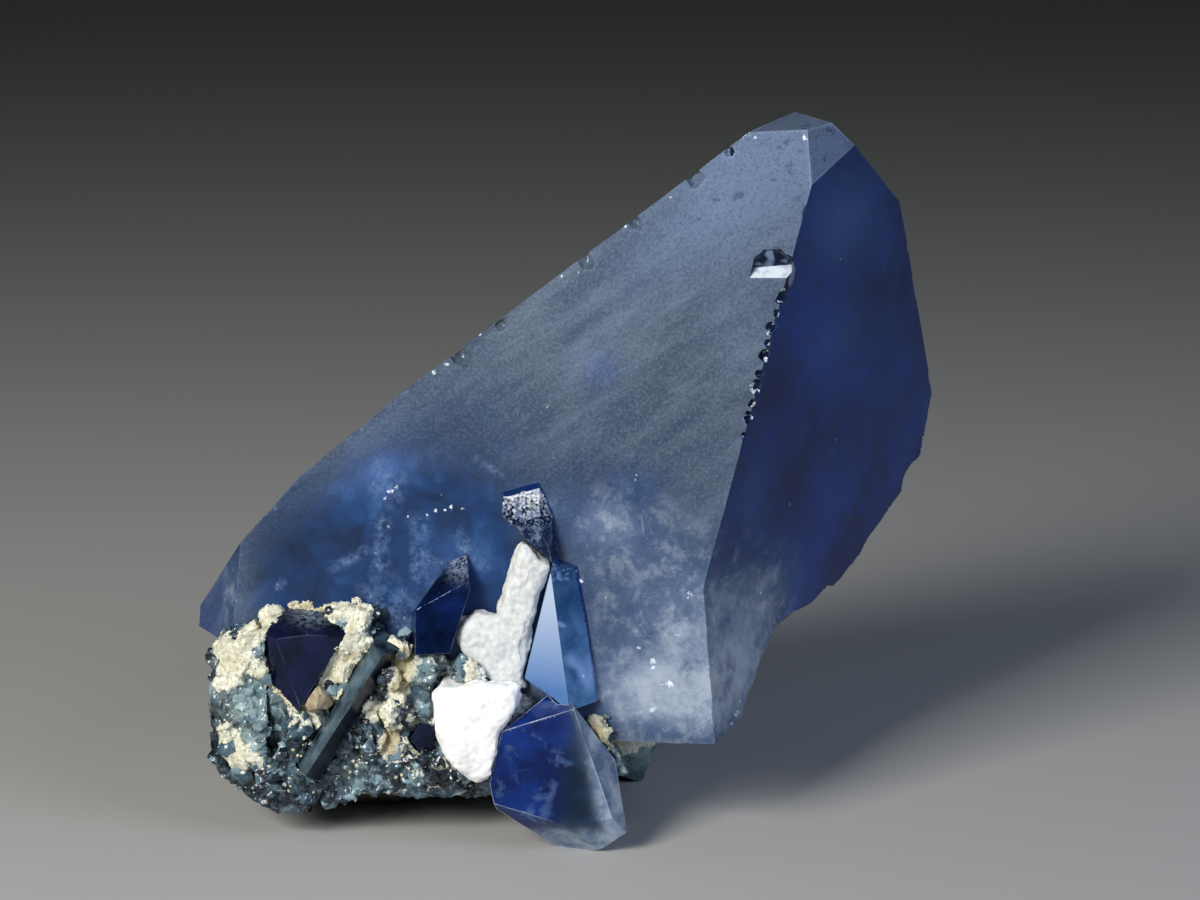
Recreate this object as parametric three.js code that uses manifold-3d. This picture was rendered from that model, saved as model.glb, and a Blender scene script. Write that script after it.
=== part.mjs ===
// A benitoite crystal on a scrap of blueschist, with white natrolite and smaller crystals at its foot.
// Lengths are in millimetres, +Z is up, and the large pale face of the crystal looks towards -Y.
// The big crystal is one corner of a flattened double pyramid, so its faces are given as a compass
// turn of the outward normal from -Y towards +X, a rise of that normal above level, and a reach,
// the distance of the face from the crystal's own centre.

import * as THREE from 'three';
import { ConvexGeometry } from 'three/addons/geometries/ConvexGeometry.js';
import { ImprovedNoise } from 'three/addons/math/ImprovedNoise.js';
import { TessellateModifier } from 'three/addons/modifiers/TessellateModifier.js';
import { mergeVertices } from 'three/addons/utils/BufferGeometryUtils.js';
import Module from 'manifold-3d';

const wasm = await Module();
wasm.setup();

// Driving dimensions of the whole specimen

const CONTACT_GAP = 0.05;
const FRONT_CLEARANCE = 1.2;
const MERGE_DISTANCE = 1e-5;
const FLOOR = -0.15;
const FLOOR_BLOCK = 60;

// Driving dimensions of the big crystal

const BIG_CENTRE = [0.5, 0.3, 10.7];
const BIG_FACES = {
  front: { turn: -7, rise: 4.5, reach: 3.7 },
  prism: { turn: 44, rise: 7, reach: 7.9 },
  summit: { turn: -34.5, rise: 84, reach: 8.7 },
  shoulder: { turn: 112.5, rise: 51, reach: 10.05 },
  upperLeft: { turn: -112.5, rise: 51, reach: 3.3 },
  midLeft: { turn: -111.5, rise: 49, reach: 3.4 },
  lowerLeft: { turn: -109, rise: 40.5, reach: 4.3 },
  upperRightBack: { turn: 143.5, rise: 31, reach: 7.7 },
  rightRim: { turn: 132.5, rise: -1.5, reach: 9.8 },
  leftEnd: { turn: -62, rise: 7, reach: 9.2 },
  leftTip: { turn: -96, rise: 2, reach: 10.5 },
  leftFoot: { turn: -62, rise: -73.5, reach: 8.2 },
  foot: { turn: 173.5, rise: -76.5, reach: 6.7 },
  back: { turn: -174, rise: 11.5, reach: 5.6 },
};

// The right face leans in as it goes down, and below a slanting line an etched face flares out past it

const RIGHT_FACE = { turn: 52.5, rise: -10, reach: 5.85 };
const ETCHED_FACE = { turn: 59.5, rise: 6.5, reach: 4.65 };
const BREAKS = [
  { face: { turn: -174, rise: 11.5, reach: 4.9 }, cells: 22, bump: 0.45, seed: 3 },
  { face: { turn: 138, rise: -43.5, reach: 7.9 }, cells: 26, bump: 0.2, seed: 7 },
  { face: { turn: 150, rise: -62.5, reach: 6.5 }, cells: 26, bump: 0.18, seed: 11 },
  { face: { turn: 173.5, rise: -76.5, reach: 6.65 }, cells: 26, bump: 0.08, seed: 17 },
];
const BREAK_SIDE = 24;
const BREAK_DEPTH = 8;
const BREAK_GRAIN = 1.7;
const SCOOPS = [
  { at: [12.35, -2.3, 0.4], size: [8, 8, 8], detail: 10, bump: 0.09, grain: 1.1, edge: 2, seed: 23 },
  { at: [10.75, 3.6, 8.1], size: [0.95, 0.95, 0.95], detail: 2, bump: 0.05, grain: 1.1, edge: 2, seed: 29 },
];

// Chips along two edges of the front face: how far along the edge, from 0 to 1, and the size

const FRONT_EDGE = { from: [6.63, -3.58, 18.05], to: [3.84, -4.1, 7.34] };
const LEFT_EDGE = { from: [4.85, -3.28, 19.18], to: [-3.61, -2.79, 12.6] };
const FRONT_CHIPS = [
  [0.285, 0.2], [0.325, 0.13], [0.36, 0.2], [0.4, 0.14], [0.43, 0.22], [0.475, 0.15],
  [0.51, 0.24], [0.55, 0.14], [0.585, 0.2], [0.63, 0.12],
];
const LEFT_CHIPS = [[0.05, 0.16], [0.16, 0.28], [0.34, 0.2], [0.5, 0.26], [0.77, 0.2], [0.9, 0.3]];

// The notch in the front edge: a flat sill that catches the light, under a small vault

const NOTCH_CENTRE = [5.6, -3.75, 15.85];
const NOTCH_FACES = {
  sill: { turn: 172, rise: -50, reach: 0.28 },
  vault: { turn: 180, rise: 20, reach: 0.35 },
  vaultTop: { turn: 180, rise: 60, reach: 0.45 },
  left: { turn: -110, rise: 10, reach: 0.55 },
  leftTop: { turn: -125, rise: 45, reach: 0.5 },
  right: { turn: 100, rise: 0, reach: 0.55 },
  rightTop: { turn: 120, rise: 50, reach: 0.5 },
  front: { turn: -7, rise: 0, reach: 0.6 },
};

// Two smaller crystals grown into the front face, a wedge and above it a cap

const WEDGE_CENTRE = [0.1, -3.4, 6.4];
const WEDGE_FACES = {
  paleStrip: { turn: -29, rise: 5, reach: 1.05 },
  blue: { turn: 38, rise: 12.5, reach: 0.65 },
  top: { turn: 30.5, rise: 60.5, reach: 1.25 },
  right: { turn: 69.5, rise: 10.5, reach: 0.6 },
  left: { turn: -90, rise: 13.5, reach: 0.7 },
  foot: { turn: -90, rise: -61.5, reach: 2.15 },
  footRight: { turn: 90, rise: -82.5, reach: 2.5 },
  back: { turn: 180, rise: 0, reach: 0.6 },
};
const CAP_CENTRE = [-0.75, -3.6, 9.2];
const CAP_FACES = {
  front: { turn: -23.5, rise: -6.5, reach: 0.6 },
  topEdge: { turn: -18.5, rise: 36, reach: 0.2 },
  topRight: { turn: 56.5, rise: 25, reach: 0.25 },
  leftRim: { turn: -90, rise: 0, reach: 0.9 },
  left: { turn: -78.5, rise: -47, reach: 0.75 },
  right: { turn: 74.5, rise: 9, reach: 0.4 },
  back: { turn: 180, rise: 0, reach: 0.5 },
};

// Driving dimensions of the smaller crystals

const SMALL_CENTRE = [-0.15, -4, 2.1];
const SMALL_FACES = {
  front: { turn: -5.5, rise: 2.5, reach: 1.15 },
  top: { turn: -33.5, rise: 54.5, reach: 1.95 },
  rightBevel: { turn: 55, rise: 18, reach: 1.55 },
  footBevel: { turn: 0.5, rise: -25, reach: 1.7 },
  lowLeftBevel: { turn: -20.5, rise: -41, reach: 1.7 },
  right: { turn: 98, rise: 7.5, reach: 1.5 },
  topRight: { turn: 100, rise: 35.5, reach: 1.35 },
  lowRight: { turn: 102, rise: -48.5, reach: 2.25 },
  left: { turn: -102.5, rise: 12.5, reach: 1.5 },
  leftLow: { turn: -98, rise: -11.5, reach: 1.7 },
  lowLeft: { turn: -102.5, rise: -49, reach: 1.7 },
  topBack: { turn: -105.5, rise: 50, reach: 1.7 },
  foot: { turn: 0, rise: -90, reach: 2.25 },
  back: { turn: 175, rise: 5, reach: 1.35 },
};
const BOOT_CENTRE = [-3.3, -3.7, 6.6];
const BOOT_FACES = {
  front: { turn: -4, rise: 8.5, reach: 0.45 },
  tipTop: { turn: -34.5, rise: 46, reach: 0.45 },
  tipRight: { turn: 90, rise: 8.5, reach: 0.85 },
  right: { turn: 95.5, rise: -18.5, reach: 0.55 },
  toe: { turn: 162, rise: -74, reach: 1.05 },
  left: { turn: -80, rise: 3, reach: 0.75 },
  leftTop: { turn: -96, rise: 35.5, reach: 0.5 },
  back: { turn: 180, rise: 0, reach: 0.9 },
};
const TRIANGLE_CENTRE = [-7, -3.35, 5.1];
const TRIANGLE_FACES = {
  front: { turn: 0, rise: 4.5, reach: 0.8 },
  hoodLeft: { turn: -12, rise: 62, reach: 0.95 },
  hoodRight: { turn: 4, rise: 64, reach: 0.95 },
  leftSide: { turn: -36, rise: -8, reach: 1 },
  right: { turn: 95, rise: -10, reach: 1 },
  lowRight: { turn: 90, rise: -31.5, reach: 0.55 },
  farLeft: { turn: -90, rise: 0, reach: 1.05 },
  leftTop: { turn: -98, rise: 50.5, reach: 1.25 },
  topRight: { turn: 90, rise: 62.5, reach: 1.2 },
  top: { turn: 16.5, rise: 79.5, reach: 1 },
  back: { turn: 180, rise: 0, reach: 1.1 },
};
const BLADE_CENTRE = [-5.85, -4.2, 3.7];
const BLADE_FACES = {
  greyStrip: { turn: -50.5, rise: 29, reach: 0.45 },
  darkSide: { turn: 57.5, rise: -26.5, reach: 0.25 },
  upperSide: { turn: -78.5, rise: 30.5, reach: 0.35 },
  lowerSide: { turn: 101.5, rise: -30.5, reach: 0.3 },
  topEnd: { turn: 37.5, rise: 64.5, reach: 1.9 },
  lowEnd: { turn: -74.5, rise: -49.5, reach: 2.1 },
  back: { turn: 180, rise: 0, reach: 0.55 },
};

// Driving dimensions of the natrolite: outlines are X and Z points of the white patches seen from the front

const VEIN = {
  outline: [
    [-1.15, 8.3], [-0.75, 8.1], [-0.35, 7.75], [-0.6, 6.9], [-0.85, 5.95], [-1, 5.05], [-1, 4.25],
    [-1.8, 4.2], [-2.3, 4.75], [-2.75, 5.25], [-2.9, 5.65], [-2.8, 6.15], [-2.4, 6.35], [-1.8, 6.3],
    [-1.65, 6.8], [-1.45, 7.5],
  ],
  front: -4.15,
  depth: 1.1,
  round: 0.2,
  edge: 0.45,
  bump: 0.07,
  grain: 0.45,
  seed: 21,
};
const LUMP = {
  outline: [
    [-3.5, 4.2], [-3.3, 4.5], [-2.5, 4.6], [-1.2, 4.6], [-1.25, 4], [-1.65, 3.3], [-1.9, 2.1],
    [-2.3, 1.95], [-2.75, 2.05], [-3.2, 2.6], [-3.45, 3.2],
  ],
  front: -5.25,
  depth: 2.9,
  round: 0.35,
  edge: 0.6,
  bump: 0.09,
  grain: 0.55,
  seed: 27,
};

// Driving dimensions of the rock

const LEDGE = {
  outline: [
    [-9.3, 5.4], [-8.85, 5.6], [-8, 6], [-6.4, 6.3], [-5.3, 6.45], [-4.8, 5.6], [-3.9, 5.3],
    [-2.6, 5.1], [-1.2, 4.3], [-0.3, 3.7], [0.6, 3.3], [1.2, 2.8], [1.4, 2.1], [0.6, 1.2],
    [-1.8, 0.9], [-3.3, 0.95], [-4.6, 0.9], [-5.6, 1.2], [-6.4, 0.95], [-7.2, 0.6], [-8.05, 0.6],
    [-9.05, 0.95], [-9.5, 1.5], [-9.65, 2.6], [-9.75, 4],
  ],
  front: -3.95,
  depth: 7.2,
  round: 0.7,
  edge: 1,
  bump: 0.24,
  grain: 1.1,
  seed: 41,
};
const FOOT_TEXTURE = { detail: 4, edge: 2, bump: 0.3, grain: 1.3 };
const FOOT_LUMPS = [
  { at: [-5.5, 1.7, 1.35], size: [3.2, 2.6, 2.5], seed: 43, ...FOOT_TEXTURE },
  { at: [-0.8, 1.9, 1.7], size: [3.5, 2.8, 2.7], seed: 47, ...FOOT_TEXTURE },
  { at: [-3.2, 0.5, 2.4], size: [3.4, 2.2, 1.9], seed: 53, ...FOOT_TEXTURE },
];
const GRAINS = [
  { at: [-8.75, -3.1, 3.5], radius: 1.05 },
  { at: [-8, -3.7, 2.25], radius: 0.85 },
  { at: [-9.2, -2.6, 2.4], radius: 0.6 },
  { at: [-7.6, -3, 1.05], radius: 0.8 },
  { at: [-8.7, -2.5, 1.2], radius: 0.6 },
  { at: [-6.3, -3.4, 1.45], radius: 0.75 },
  { at: [-5.3, -3.9, 2.95], radius: 0.65 },
  { at: [-5.35, -3.6, 1.8], radius: 0.75 },
  { at: [-3.85, -4, 4.75], radius: 0.6 },
  { at: [-2.75, -4.05, 4.75], radius: 0.58 },
  { at: [-4.05, -3.8, 2], radius: 0.7 },
  { at: [-4.55, -3.8, 3.6], radius: 0.66 },
  { at: [-5.65, -3.9, 4], radius: 0.5 },
  { at: [-4.8, -4, 4.7], radius: 0.48 },
  { at: [-9.35, -2.8, 4.8], radius: 0.65 },
  { at: [-6.05, -3.6, 4.65], radius: 0.55 },
  { at: [-7.3, -3.8, 3.1], radius: 0.6 },
  { at: [-3, -3.3, 1.7], radius: 0.7 },
  { at: [-5.45, -3.45, 6.2], radius: 0.34 },
  { at: [-8.8, -3, 5.5], radius: 0.5 },
  { at: [-4.45, -3.9, 5.45], radius: 0.42 },
  { at: [-8, -3.1, 6], radius: 0.36 },
  { at: [-6.1, -3.3, 6.05], radius: 0.42 },
  { at: [0.95, -4.2, 3.1], radius: 0.42 },
  { at: [1, -3.7, 2.35], radius: 0.75 },
  { at: [1.5, -2.5, 1.05], radius: 0.85 },
  { at: [1.4, -1.9, 0.4], radius: 0.85 },
];
const PEBBLES = {
  beige_grain: { at: [-6.7, -4.1, 3.95], radius: 0.42, seed: 61 },
  purple_grain: { at: [-3.8, -4, 2.9], radius: 0.38, seed: 67 },
};

// Solids from geometry, and geometry from solids

function solidOf(geometry) {
  const bare = new THREE.BufferGeometry();
  bare.setAttribute('position', geometry.getAttribute('position').clone());
  if (geometry.index) {
    bare.setIndex(geometry.index.clone());
  }
  const merged = mergeVertices(bare, MERGE_DISTANCE);
  return new wasm.Manifold(new wasm.Mesh({
    numProp: 3,
    vertProperties: merged.getAttribute('position').array,
    triVerts: new Uint32Array(merged.index.array),
  }));
}

function geometryOf(solid) {
  const { vertProperties, triVerts } = solid.getMesh();
  const geometry = new THREE.BufferGeometry();
  geometry.setAttribute('position', new THREE.BufferAttribute(new Float32Array(vertProperties), 3));
  geometry.setIndex(new THREE.BufferAttribute(new Uint32Array(triVerts), 1));
  return geometry;
}

function joined(solids) {
  return solids.reduce((whole, solid) => whole.add(solid));
}

function cutBy(solid, cutters) {
  return cutters.reduce((left, cutter) => left.subtract(cutter), solid);
}

function largestBody(solid) {
  return solid.decompose().reduce((best, body) => (body.volume() > best.volume() ? body : best));
}

// Crystals: the space inside a few flat faces

function normalOf({ turn, rise }) {
  const turned = THREE.MathUtils.degToRad(turn);
  const raised = THREE.MathUtils.degToRad(rise);
  return new THREE.Vector3(
    Math.sin(turned) * Math.cos(raised),
    -Math.cos(turned) * Math.cos(raised),
    Math.sin(raised),
  );
}

// The point where three faces meet, measured from the crystal's centre
function cornerOf(a, b, c) {
  const bc = new THREE.Vector3().crossVectors(b.normal, c.normal);
  const ca = new THREE.Vector3().crossVectors(c.normal, a.normal);
  const ab = new THREE.Vector3().crossVectors(a.normal, b.normal);
  const spread = a.normal.dot(bc);
  if (Math.abs(spread) < MERGE_DISTANCE) {
    return null;
  }
  const corner = bc.multiplyScalar(a.reach).addScaledVector(ca, b.reach).addScaledVector(ab, c.reach);
  return corner.divideScalar(spread);
}

function crystal(centre, faces, grow = 0) {
  const planes = Object.values(faces).map((face) => ({
    normal: normalOf(face),
    reach: face.reach + grow,
  }));
  const corners = [];
  planes.forEach((a, i) => {
    planes.slice(i + 1).forEach((b, j) => {
      planes.slice(i + j + 2).forEach((c) => {
        const corner = cornerOf(a, b, c);
        if (corner && planes.every((plane) => corner.dot(plane.normal) < plane.reach + MERGE_DISTANCE)) {
          corners.push(corner);
        }
      });
    });
  });
  return solidOf(new ConvexGeometry(corners).translate(...centre));
}

// Roughness: a smooth noise field that moves every point of a surface

const field = new ImprovedNoise();
const NOISE_GAIN = 2;
const NOISE_SHIFT = 17.3;
const FINE_RATIO = 2.3;
const FINE_SHARE = 0.45;
const SPLITTING_PASSES = 12;

function bumpAt(point, grain, seed) {
  const [x, y, z] = [point.x / grain + seed, point.y / grain, point.z / grain];
  const fine = field.noise(x * FINE_RATIO, y * FINE_RATIO, z * FINE_RATIO);
  return NOISE_GAIN * (field.noise(x, y, z) + FINE_SHARE * fine);
}

function roughened(geometry, { edge, bump, grain, seed }) {
  const bare = geometry.index ? geometry.toNonIndexed() : geometry;
  const fine = new TessellateModifier(edge, SPLITTING_PASSES).modify(bare);
  const positions = fine.getAttribute('position');
  const point = new THREE.Vector3();
  for (let i = 0; i < positions.count; i += 1) {
    point.fromBufferAttribute(positions, i);
    const [x, y, z] = [0, 1, 2].map((axis) => bump * bumpAt(point, grain, seed + axis * NOISE_SHIFT));
    positions.setXYZ(i, point.x + x, point.y + y, point.z + z);
  }
  return fine;
}

// A patch with a given outline from the front, rounded at its rim and rough all over
function patch({ outline, front, depth, round, ...texture }, grow = 0) {
  const shape = new THREE.Shape(outline.map(([x, z]) => new THREE.Vector2(x, z)));
  const geometry = new THREE.ExtrudeGeometry(shape, {
    depth: depth - 2 * round,
    bevelThickness: round + grow,
    bevelSize: round + grow,
    bevelOffset: -round,
    bevelSegments: 2,
    curveSegments: 1,
  });
  geometry.rotateX(Math.PI / 2);
  geometry.translate(0, front + depth - round, 0);
  return solidOf(roughened(geometry, texture));
}

// A slab that lies outside a face, with a rough inner side: taking it away leaves a broken surface
function breakingSlab({ face, cells, bump, seed }) {
  const slab = new THREE.BoxGeometry(BREAK_SIDE, BREAK_SIDE, BREAK_DEPTH, cells, cells, 1);
  slab.translate(0, 0, BREAK_DEPTH / 2);
  const positions = slab.getAttribute('position');
  const point = new THREE.Vector3();
  for (let i = 0; i < positions.count; i += 1) {
    point.fromBufferAttribute(positions, i);
    if (point.z < BREAK_DEPTH / 2) {
      positions.setZ(i, bump * bumpAt(point, BREAK_GRAIN, seed));
    }
  }
  const normal = normalOf(face);
  slab.applyQuaternion(new THREE.Quaternion().setFromUnitVectors(new THREE.Vector3(0, 0, 1), normal));
  slab.translate(...new THREE.Vector3(...BIG_CENTRE).addScaledVector(normal, face.reach).toArray());
  return solidOf(slab);
}

// A rough ball: a lump of rock, or, taken away from a crystal, a shell-shaped hollow
function roughBall({ at, size, detail, ...texture }) {
  const geometry = new THREE.IcosahedronGeometry(1, detail).scale(...size).translate(...at);
  return solidOf(roughened(geometry, texture));
}

function chipsAlong({ from, to }, chips) {
  const start = new THREE.Vector3(...from);
  const end = new THREE.Vector3(...to);
  return chips.map(([along, radius], i) => {
    const at = start.clone().lerp(end, along).toArray();
    return grain({ at, radius }, i + 1);
  });
}

// The big crystal, with the wedge and the cap that grew into its front face

function bigBody(grow = 0) {
  const withRight = crystal(BIG_CENTRE, { ...BIG_FACES, right: RIGHT_FACE }, grow);
  const withFlare = crystal(BIG_CENTRE, { ...BIG_FACES, etched: ETCHED_FACE }, grow);
  return joined([withRight, withFlare]);
}

function bigCrystal() {
  const body = bigBody();
  const broken = cutBy(body, [...BREAKS.map(breakingSlab), ...SCOOPS.map(roughBall)]);
  const chipped = cutBy(broken, [
    crystal(NOTCH_CENTRE, NOTCH_FACES),
    ...chipsAlong(FRONT_EDGE, FRONT_CHIPS),
    ...chipsAlong(LEFT_EDGE, LEFT_CHIPS),
  ]);
  return largestBody(joined([chipped, crystal(WEDGE_CENTRE, WEDGE_FACES), crystal(CAP_CENTRE, CAP_FACES)]));
}

// The room that a small crystal needs: itself with a gap, and the way to it from the front kept free
function roomFor(centre, faces) {
  const [x, y, z] = centre;
  return joined([0, 0.5, 1].map((part) => crystal([x, y - part * FRONT_CLEARANCE, z], faces, CONTACT_GAP)));
}

function spaceOfBigCrystal() {
  return joined([
    bigBody(CONTACT_GAP),
    crystal(WEDGE_CENTRE, WEDGE_FACES, CONTACT_GAP),
    crystal(CAP_CENTRE, CAP_FACES, CONTACT_GAP),
  ]);
}

// Broken grains: a dozen faces at uneven distances round a point

const FACE_DIRECTIONS = mergeVertices(new THREE.BufferGeometry().setAttribute(
  'position',
  new THREE.IcosahedronGeometry(1, 0).getAttribute('position'),
)).getAttribute('position');
const UNEVENNESS = 0.4;

function grain({ at, radius }, seed, grow = 0) {
  THREE.MathUtils.seededRandom(seed);
  const faces = {};
  for (let i = 0; i < FACE_DIRECTIONS.count; i += 1) {
    const direction = new THREE.Vector3().fromBufferAttribute(FACE_DIRECTIONS, i);
    direction.x += UNEVENNESS * (THREE.MathUtils.seededRandom() - 0.5);
    direction.z += UNEVENNESS * (THREE.MathUtils.seededRandom() - 0.5);
    direction.normalize();
    faces[i] = {
      turn: THREE.MathUtils.radToDeg(Math.atan2(direction.x, -direction.y)),
      rise: THREE.MathUtils.radToDeg(Math.asin(direction.z)),
      reach: radius * (1 - UNEVENNESS * THREE.MathUtils.seededRandom()),
    };
  }
  return crystal(at, faces, grow);
}

// The scrap of rock: a ledge with broken grains on it, and rough lumps behind that it stands on

function rock() {
  const grains = GRAINS.map((form, i) => grain(form, i + 1));
  return joined([patch(LEDGE), ...FOOT_LUMPS.map(roughBall), ...grains]);
}

// The floor plane cuts the rock flat, so that the specimen stands on it

function belowFloor() {
  const block = new THREE.BoxGeometry(FLOOR_BLOCK, FLOOR_BLOCK, FLOOR_BLOCK);
  return solidOf(block.translate(0, 0, FLOOR - FLOOR_BLOCK / 2));
}

// Assembly: each piece gives way to the pieces before it in this list

const PIECES = [
  { name: 'main_crystal', solid: bigCrystal, space: spaceOfBigCrystal, finish: 'crystal' },
  {
    name: 'small_crystal',
    solid: () => crystal(SMALL_CENTRE, SMALL_FACES),
    space: () => crystal(SMALL_CENTRE, SMALL_FACES, CONTACT_GAP),
    finish: 'crystal',
  },
  {
    name: 'triangular_crystal',
    solid: () => crystal(TRIANGLE_CENTRE, TRIANGLE_FACES),
    space: () => roomFor(TRIANGLE_CENTRE, TRIANGLE_FACES),
    finish: 'dark',
  },
  {
    name: 'blade_crystal',
    solid: () => crystal(BLADE_CENTRE, BLADE_FACES),
    space: () => roomFor(BLADE_CENTRE, BLADE_FACES),
    finish: 'dark',
  },
  {
    name: 'boot_crystal',
    solid: () => crystal(BOOT_CENTRE, BOOT_FACES),
    space: () => roomFor(BOOT_CENTRE, BOOT_FACES),
    finish: 'dark',
  },
  ...Object.entries(PEBBLES).map(([name, form]) => ({
    name,
    solid: () => grain(form, form.seed),
    space: () => grain(form, form.seed, CONTACT_GAP),
    finish: name === 'beige_grain' ? 'beige' : 'dark',
  })),
  {
    name: 'natrolite_vein',
    solid: () => patch(VEIN),
    space: () => patch(VEIN, CONTACT_GAP),
    finish: 'white',
  },
  {
    name: 'natrolite_lump',
    solid: () => patch(LUMP),
    space: () => patch(LUMP, CONTACT_GAP),
    finish: 'white',
  },
  {
    name: 'matrix',
    solid: rock,
    finish: 'rock',
  },
];

const MATERIALS = {
  crystal: new THREE.MeshStandardMaterial({ color: '#2e4a78', roughness: 0.15, metalness: 0 }),
  dark: new THREE.MeshStandardMaterial({ color: '#1f2c4a', roughness: 0.2, metalness: 0 }),
  white: new THREE.MeshStandardMaterial({ color: '#e2e8e8', roughness: 0.8, metalness: 0 }),
  beige: new THREE.MeshStandardMaterial({ color: '#9a9078', roughness: 0.7, metalness: 0 }),
  rock: new THREE.MeshStandardMaterial({ color: '#4a5f6c', roughness: 0.6, metalness: 0 }),
};

function specimen() {
  const group = new THREE.Group();
  const taken = [belowFloor()];
  PIECES.forEach(({ name, solid, space, finish }) => {
    const whole = largestBody(cutBy(solid(), taken));
    if (space) {
      taken.push(space());
    }
    const mesh = new THREE.Mesh(geometryOf(whole), MATERIALS[finish]);
    mesh.name = name;
    group.add(mesh);
  });
  return group;
}

// The origin is at the middle of the bottom of the whole specimen's box

function centred(group) {
  const box = new THREE.Box3().setFromObject(group);
  const middle = box.getCenter(new THREE.Vector3());
  group.children.forEach((mesh) => mesh.geometry.translate(-middle.x, -middle.y, -box.min.z));
  return group;
}

export default centred(specimen());
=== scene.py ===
"""A benitoite crystal specimen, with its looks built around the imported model.

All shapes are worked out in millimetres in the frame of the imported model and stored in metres: +Z is up, the
large pale face of the big crystal looks towards -Y, and its glossy right face and broken rim are towards +X.
"""

import math
from types import SimpleNamespace

import bmesh
import bpy
import numpy as np
from mathutils import Euler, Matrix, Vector


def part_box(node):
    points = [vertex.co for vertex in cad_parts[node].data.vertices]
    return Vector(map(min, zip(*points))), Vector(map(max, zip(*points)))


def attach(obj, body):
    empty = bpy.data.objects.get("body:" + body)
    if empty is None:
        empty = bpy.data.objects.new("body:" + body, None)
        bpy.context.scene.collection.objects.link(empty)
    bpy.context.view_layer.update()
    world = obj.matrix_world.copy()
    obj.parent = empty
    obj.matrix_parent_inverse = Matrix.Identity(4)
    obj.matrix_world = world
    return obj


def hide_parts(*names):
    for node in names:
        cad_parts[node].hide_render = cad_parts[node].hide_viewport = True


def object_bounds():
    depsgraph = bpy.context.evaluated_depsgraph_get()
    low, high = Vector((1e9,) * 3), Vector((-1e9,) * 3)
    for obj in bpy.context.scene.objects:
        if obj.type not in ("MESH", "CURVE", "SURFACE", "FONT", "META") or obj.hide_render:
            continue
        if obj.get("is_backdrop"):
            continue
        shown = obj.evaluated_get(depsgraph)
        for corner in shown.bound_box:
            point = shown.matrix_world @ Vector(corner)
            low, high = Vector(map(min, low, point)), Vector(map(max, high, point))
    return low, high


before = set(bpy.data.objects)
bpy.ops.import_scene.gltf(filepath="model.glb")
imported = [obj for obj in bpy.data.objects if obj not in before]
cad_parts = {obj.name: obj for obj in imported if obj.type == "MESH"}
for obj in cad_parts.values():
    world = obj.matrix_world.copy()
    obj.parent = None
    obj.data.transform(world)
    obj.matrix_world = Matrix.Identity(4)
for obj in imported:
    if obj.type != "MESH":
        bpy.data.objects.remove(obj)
cad_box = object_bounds()

MM = 0.001


# Numbers from numbers: smooth noise and cells, for shapes that have to look grown or broken


def cell_value(cells, seed):
    """A steady number from 0 to 1 for each whole-number cell: its coordinates times large odd factors, mixed
    by shifts."""
    x, y, z = (cells[..., k].astype(np.int64).astype(np.uint32) for k in range(3))
    mixed = x * np.uint32(73856093) ^ y * np.uint32(19349663) ^ z * np.uint32(83492791)
    mixed = mixed ^ np.uint32((seed * 97 + 11) * 2654435 % 2**32)
    mixed = (mixed ^ (mixed >> np.uint32(15))) * np.uint32(2246822519)
    mixed = (mixed ^ (mixed >> np.uint32(13))) * np.uint32(3266489917)
    return ((mixed ^ (mixed >> np.uint32(16))) & np.uint32(0xFFFF)) / 65535


def smooth_noise(points, grain, seed=0):
    """Values from -1 to 1 that change over `grain`: the eight corner values of a point's cell, blended."""
    scaled = points / grain
    low = np.floor(scaled)
    t = scaled - low
    t = t * t * (3 - 2 * t)
    total = np.zeros(len(points))
    for corner in np.ndindex(2, 2, 2):
        weight = np.prod(np.where(corner, t, 1 - t), axis=-1)
        total += weight * cell_value(low + corner, seed)
    return 2 * total - 1


def rough_noise(points, grain, seed=0, layers=4, fade=0.5):
    """Smooth noise at `grain`, plus copies at half the grain and `fade` times the strength of the one
    before."""
    total, strength = np.zeros(len(points)), 1.0
    for layer in range(layers):
        total += strength * smooth_noise(points, grain / 2**layer, seed + layer)
        strength *= fade
    return total


def cell_noise(points, grain, seed=0):
    """Distance to the nearest and the second nearest of scattered centres, one in each cell, the nearest
    one's number, and the height there of a flat through that centre that leans its own way."""
    scaled = points / grain
    low = np.floor(scaled)
    nearest = np.full(len(points), 9.0)
    second = np.full(len(points), 9.0)
    home, arm = np.zeros_like(points), np.zeros_like(points)
    for offset in np.ndindex(3, 3, 3):
        cell = low + offset - 1
        away = scaled - cell - np.stack([cell_value(cell, seed + k) for k in range(3)], -1)
        distance = np.linalg.norm(away, axis=-1)
        closer = distance < nearest
        second = np.where(closer, nearest, np.minimum(second, distance))
        home[closer], arm[closer] = cell[closer], away[closer]
        nearest = np.where(closer, distance, nearest)
    slope = np.stack([cell_value(home, seed + 11 + k) for k in range(3)], -1) - 0.5
    return nearest, second, cell_value(home, seed + 7), (arm * slope).sum(-1)


def soft_step(values, middle, steep):
    """From 0 to 1 as the values pass `middle`, along an S curve; a negative `steep` turns it round."""
    return 1 / (1 + np.exp((middle - values) * steep))


def spot(points, x, z, wide, high, turn=0):
    """A soft spot on the front: 1 at (x, z), falling off as a bell over `wide` and `high`, and turned by
    `turn` degrees."""
    dx, dz = points[:, 0] - x, points[:, 2] - z
    c, s = math.cos(math.radians(turn)), math.sin(math.radians(turn))
    return np.exp(-(((dx * c + dz * s) / wide) ** 2) - ((dz * c - dx * s) / high) ** 2)


def streak(points, start, end, radius):
    """A soft streak on the front, from 1 on the line from `start` to `end` to 0 at `radius` from it."""
    here = points[:, [0, 2]]
    a, b = np.array(start, float), np.array(end, float)
    along = np.clip((here - a) @ (b - a) / max((b - a) @ (b - a), 1e-9), 0, 1)
    away = np.linalg.norm(here - a - along[:, None] * (b - a), axis=1)
    return np.clip(1 - away / radius, 0, 1)


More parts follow.
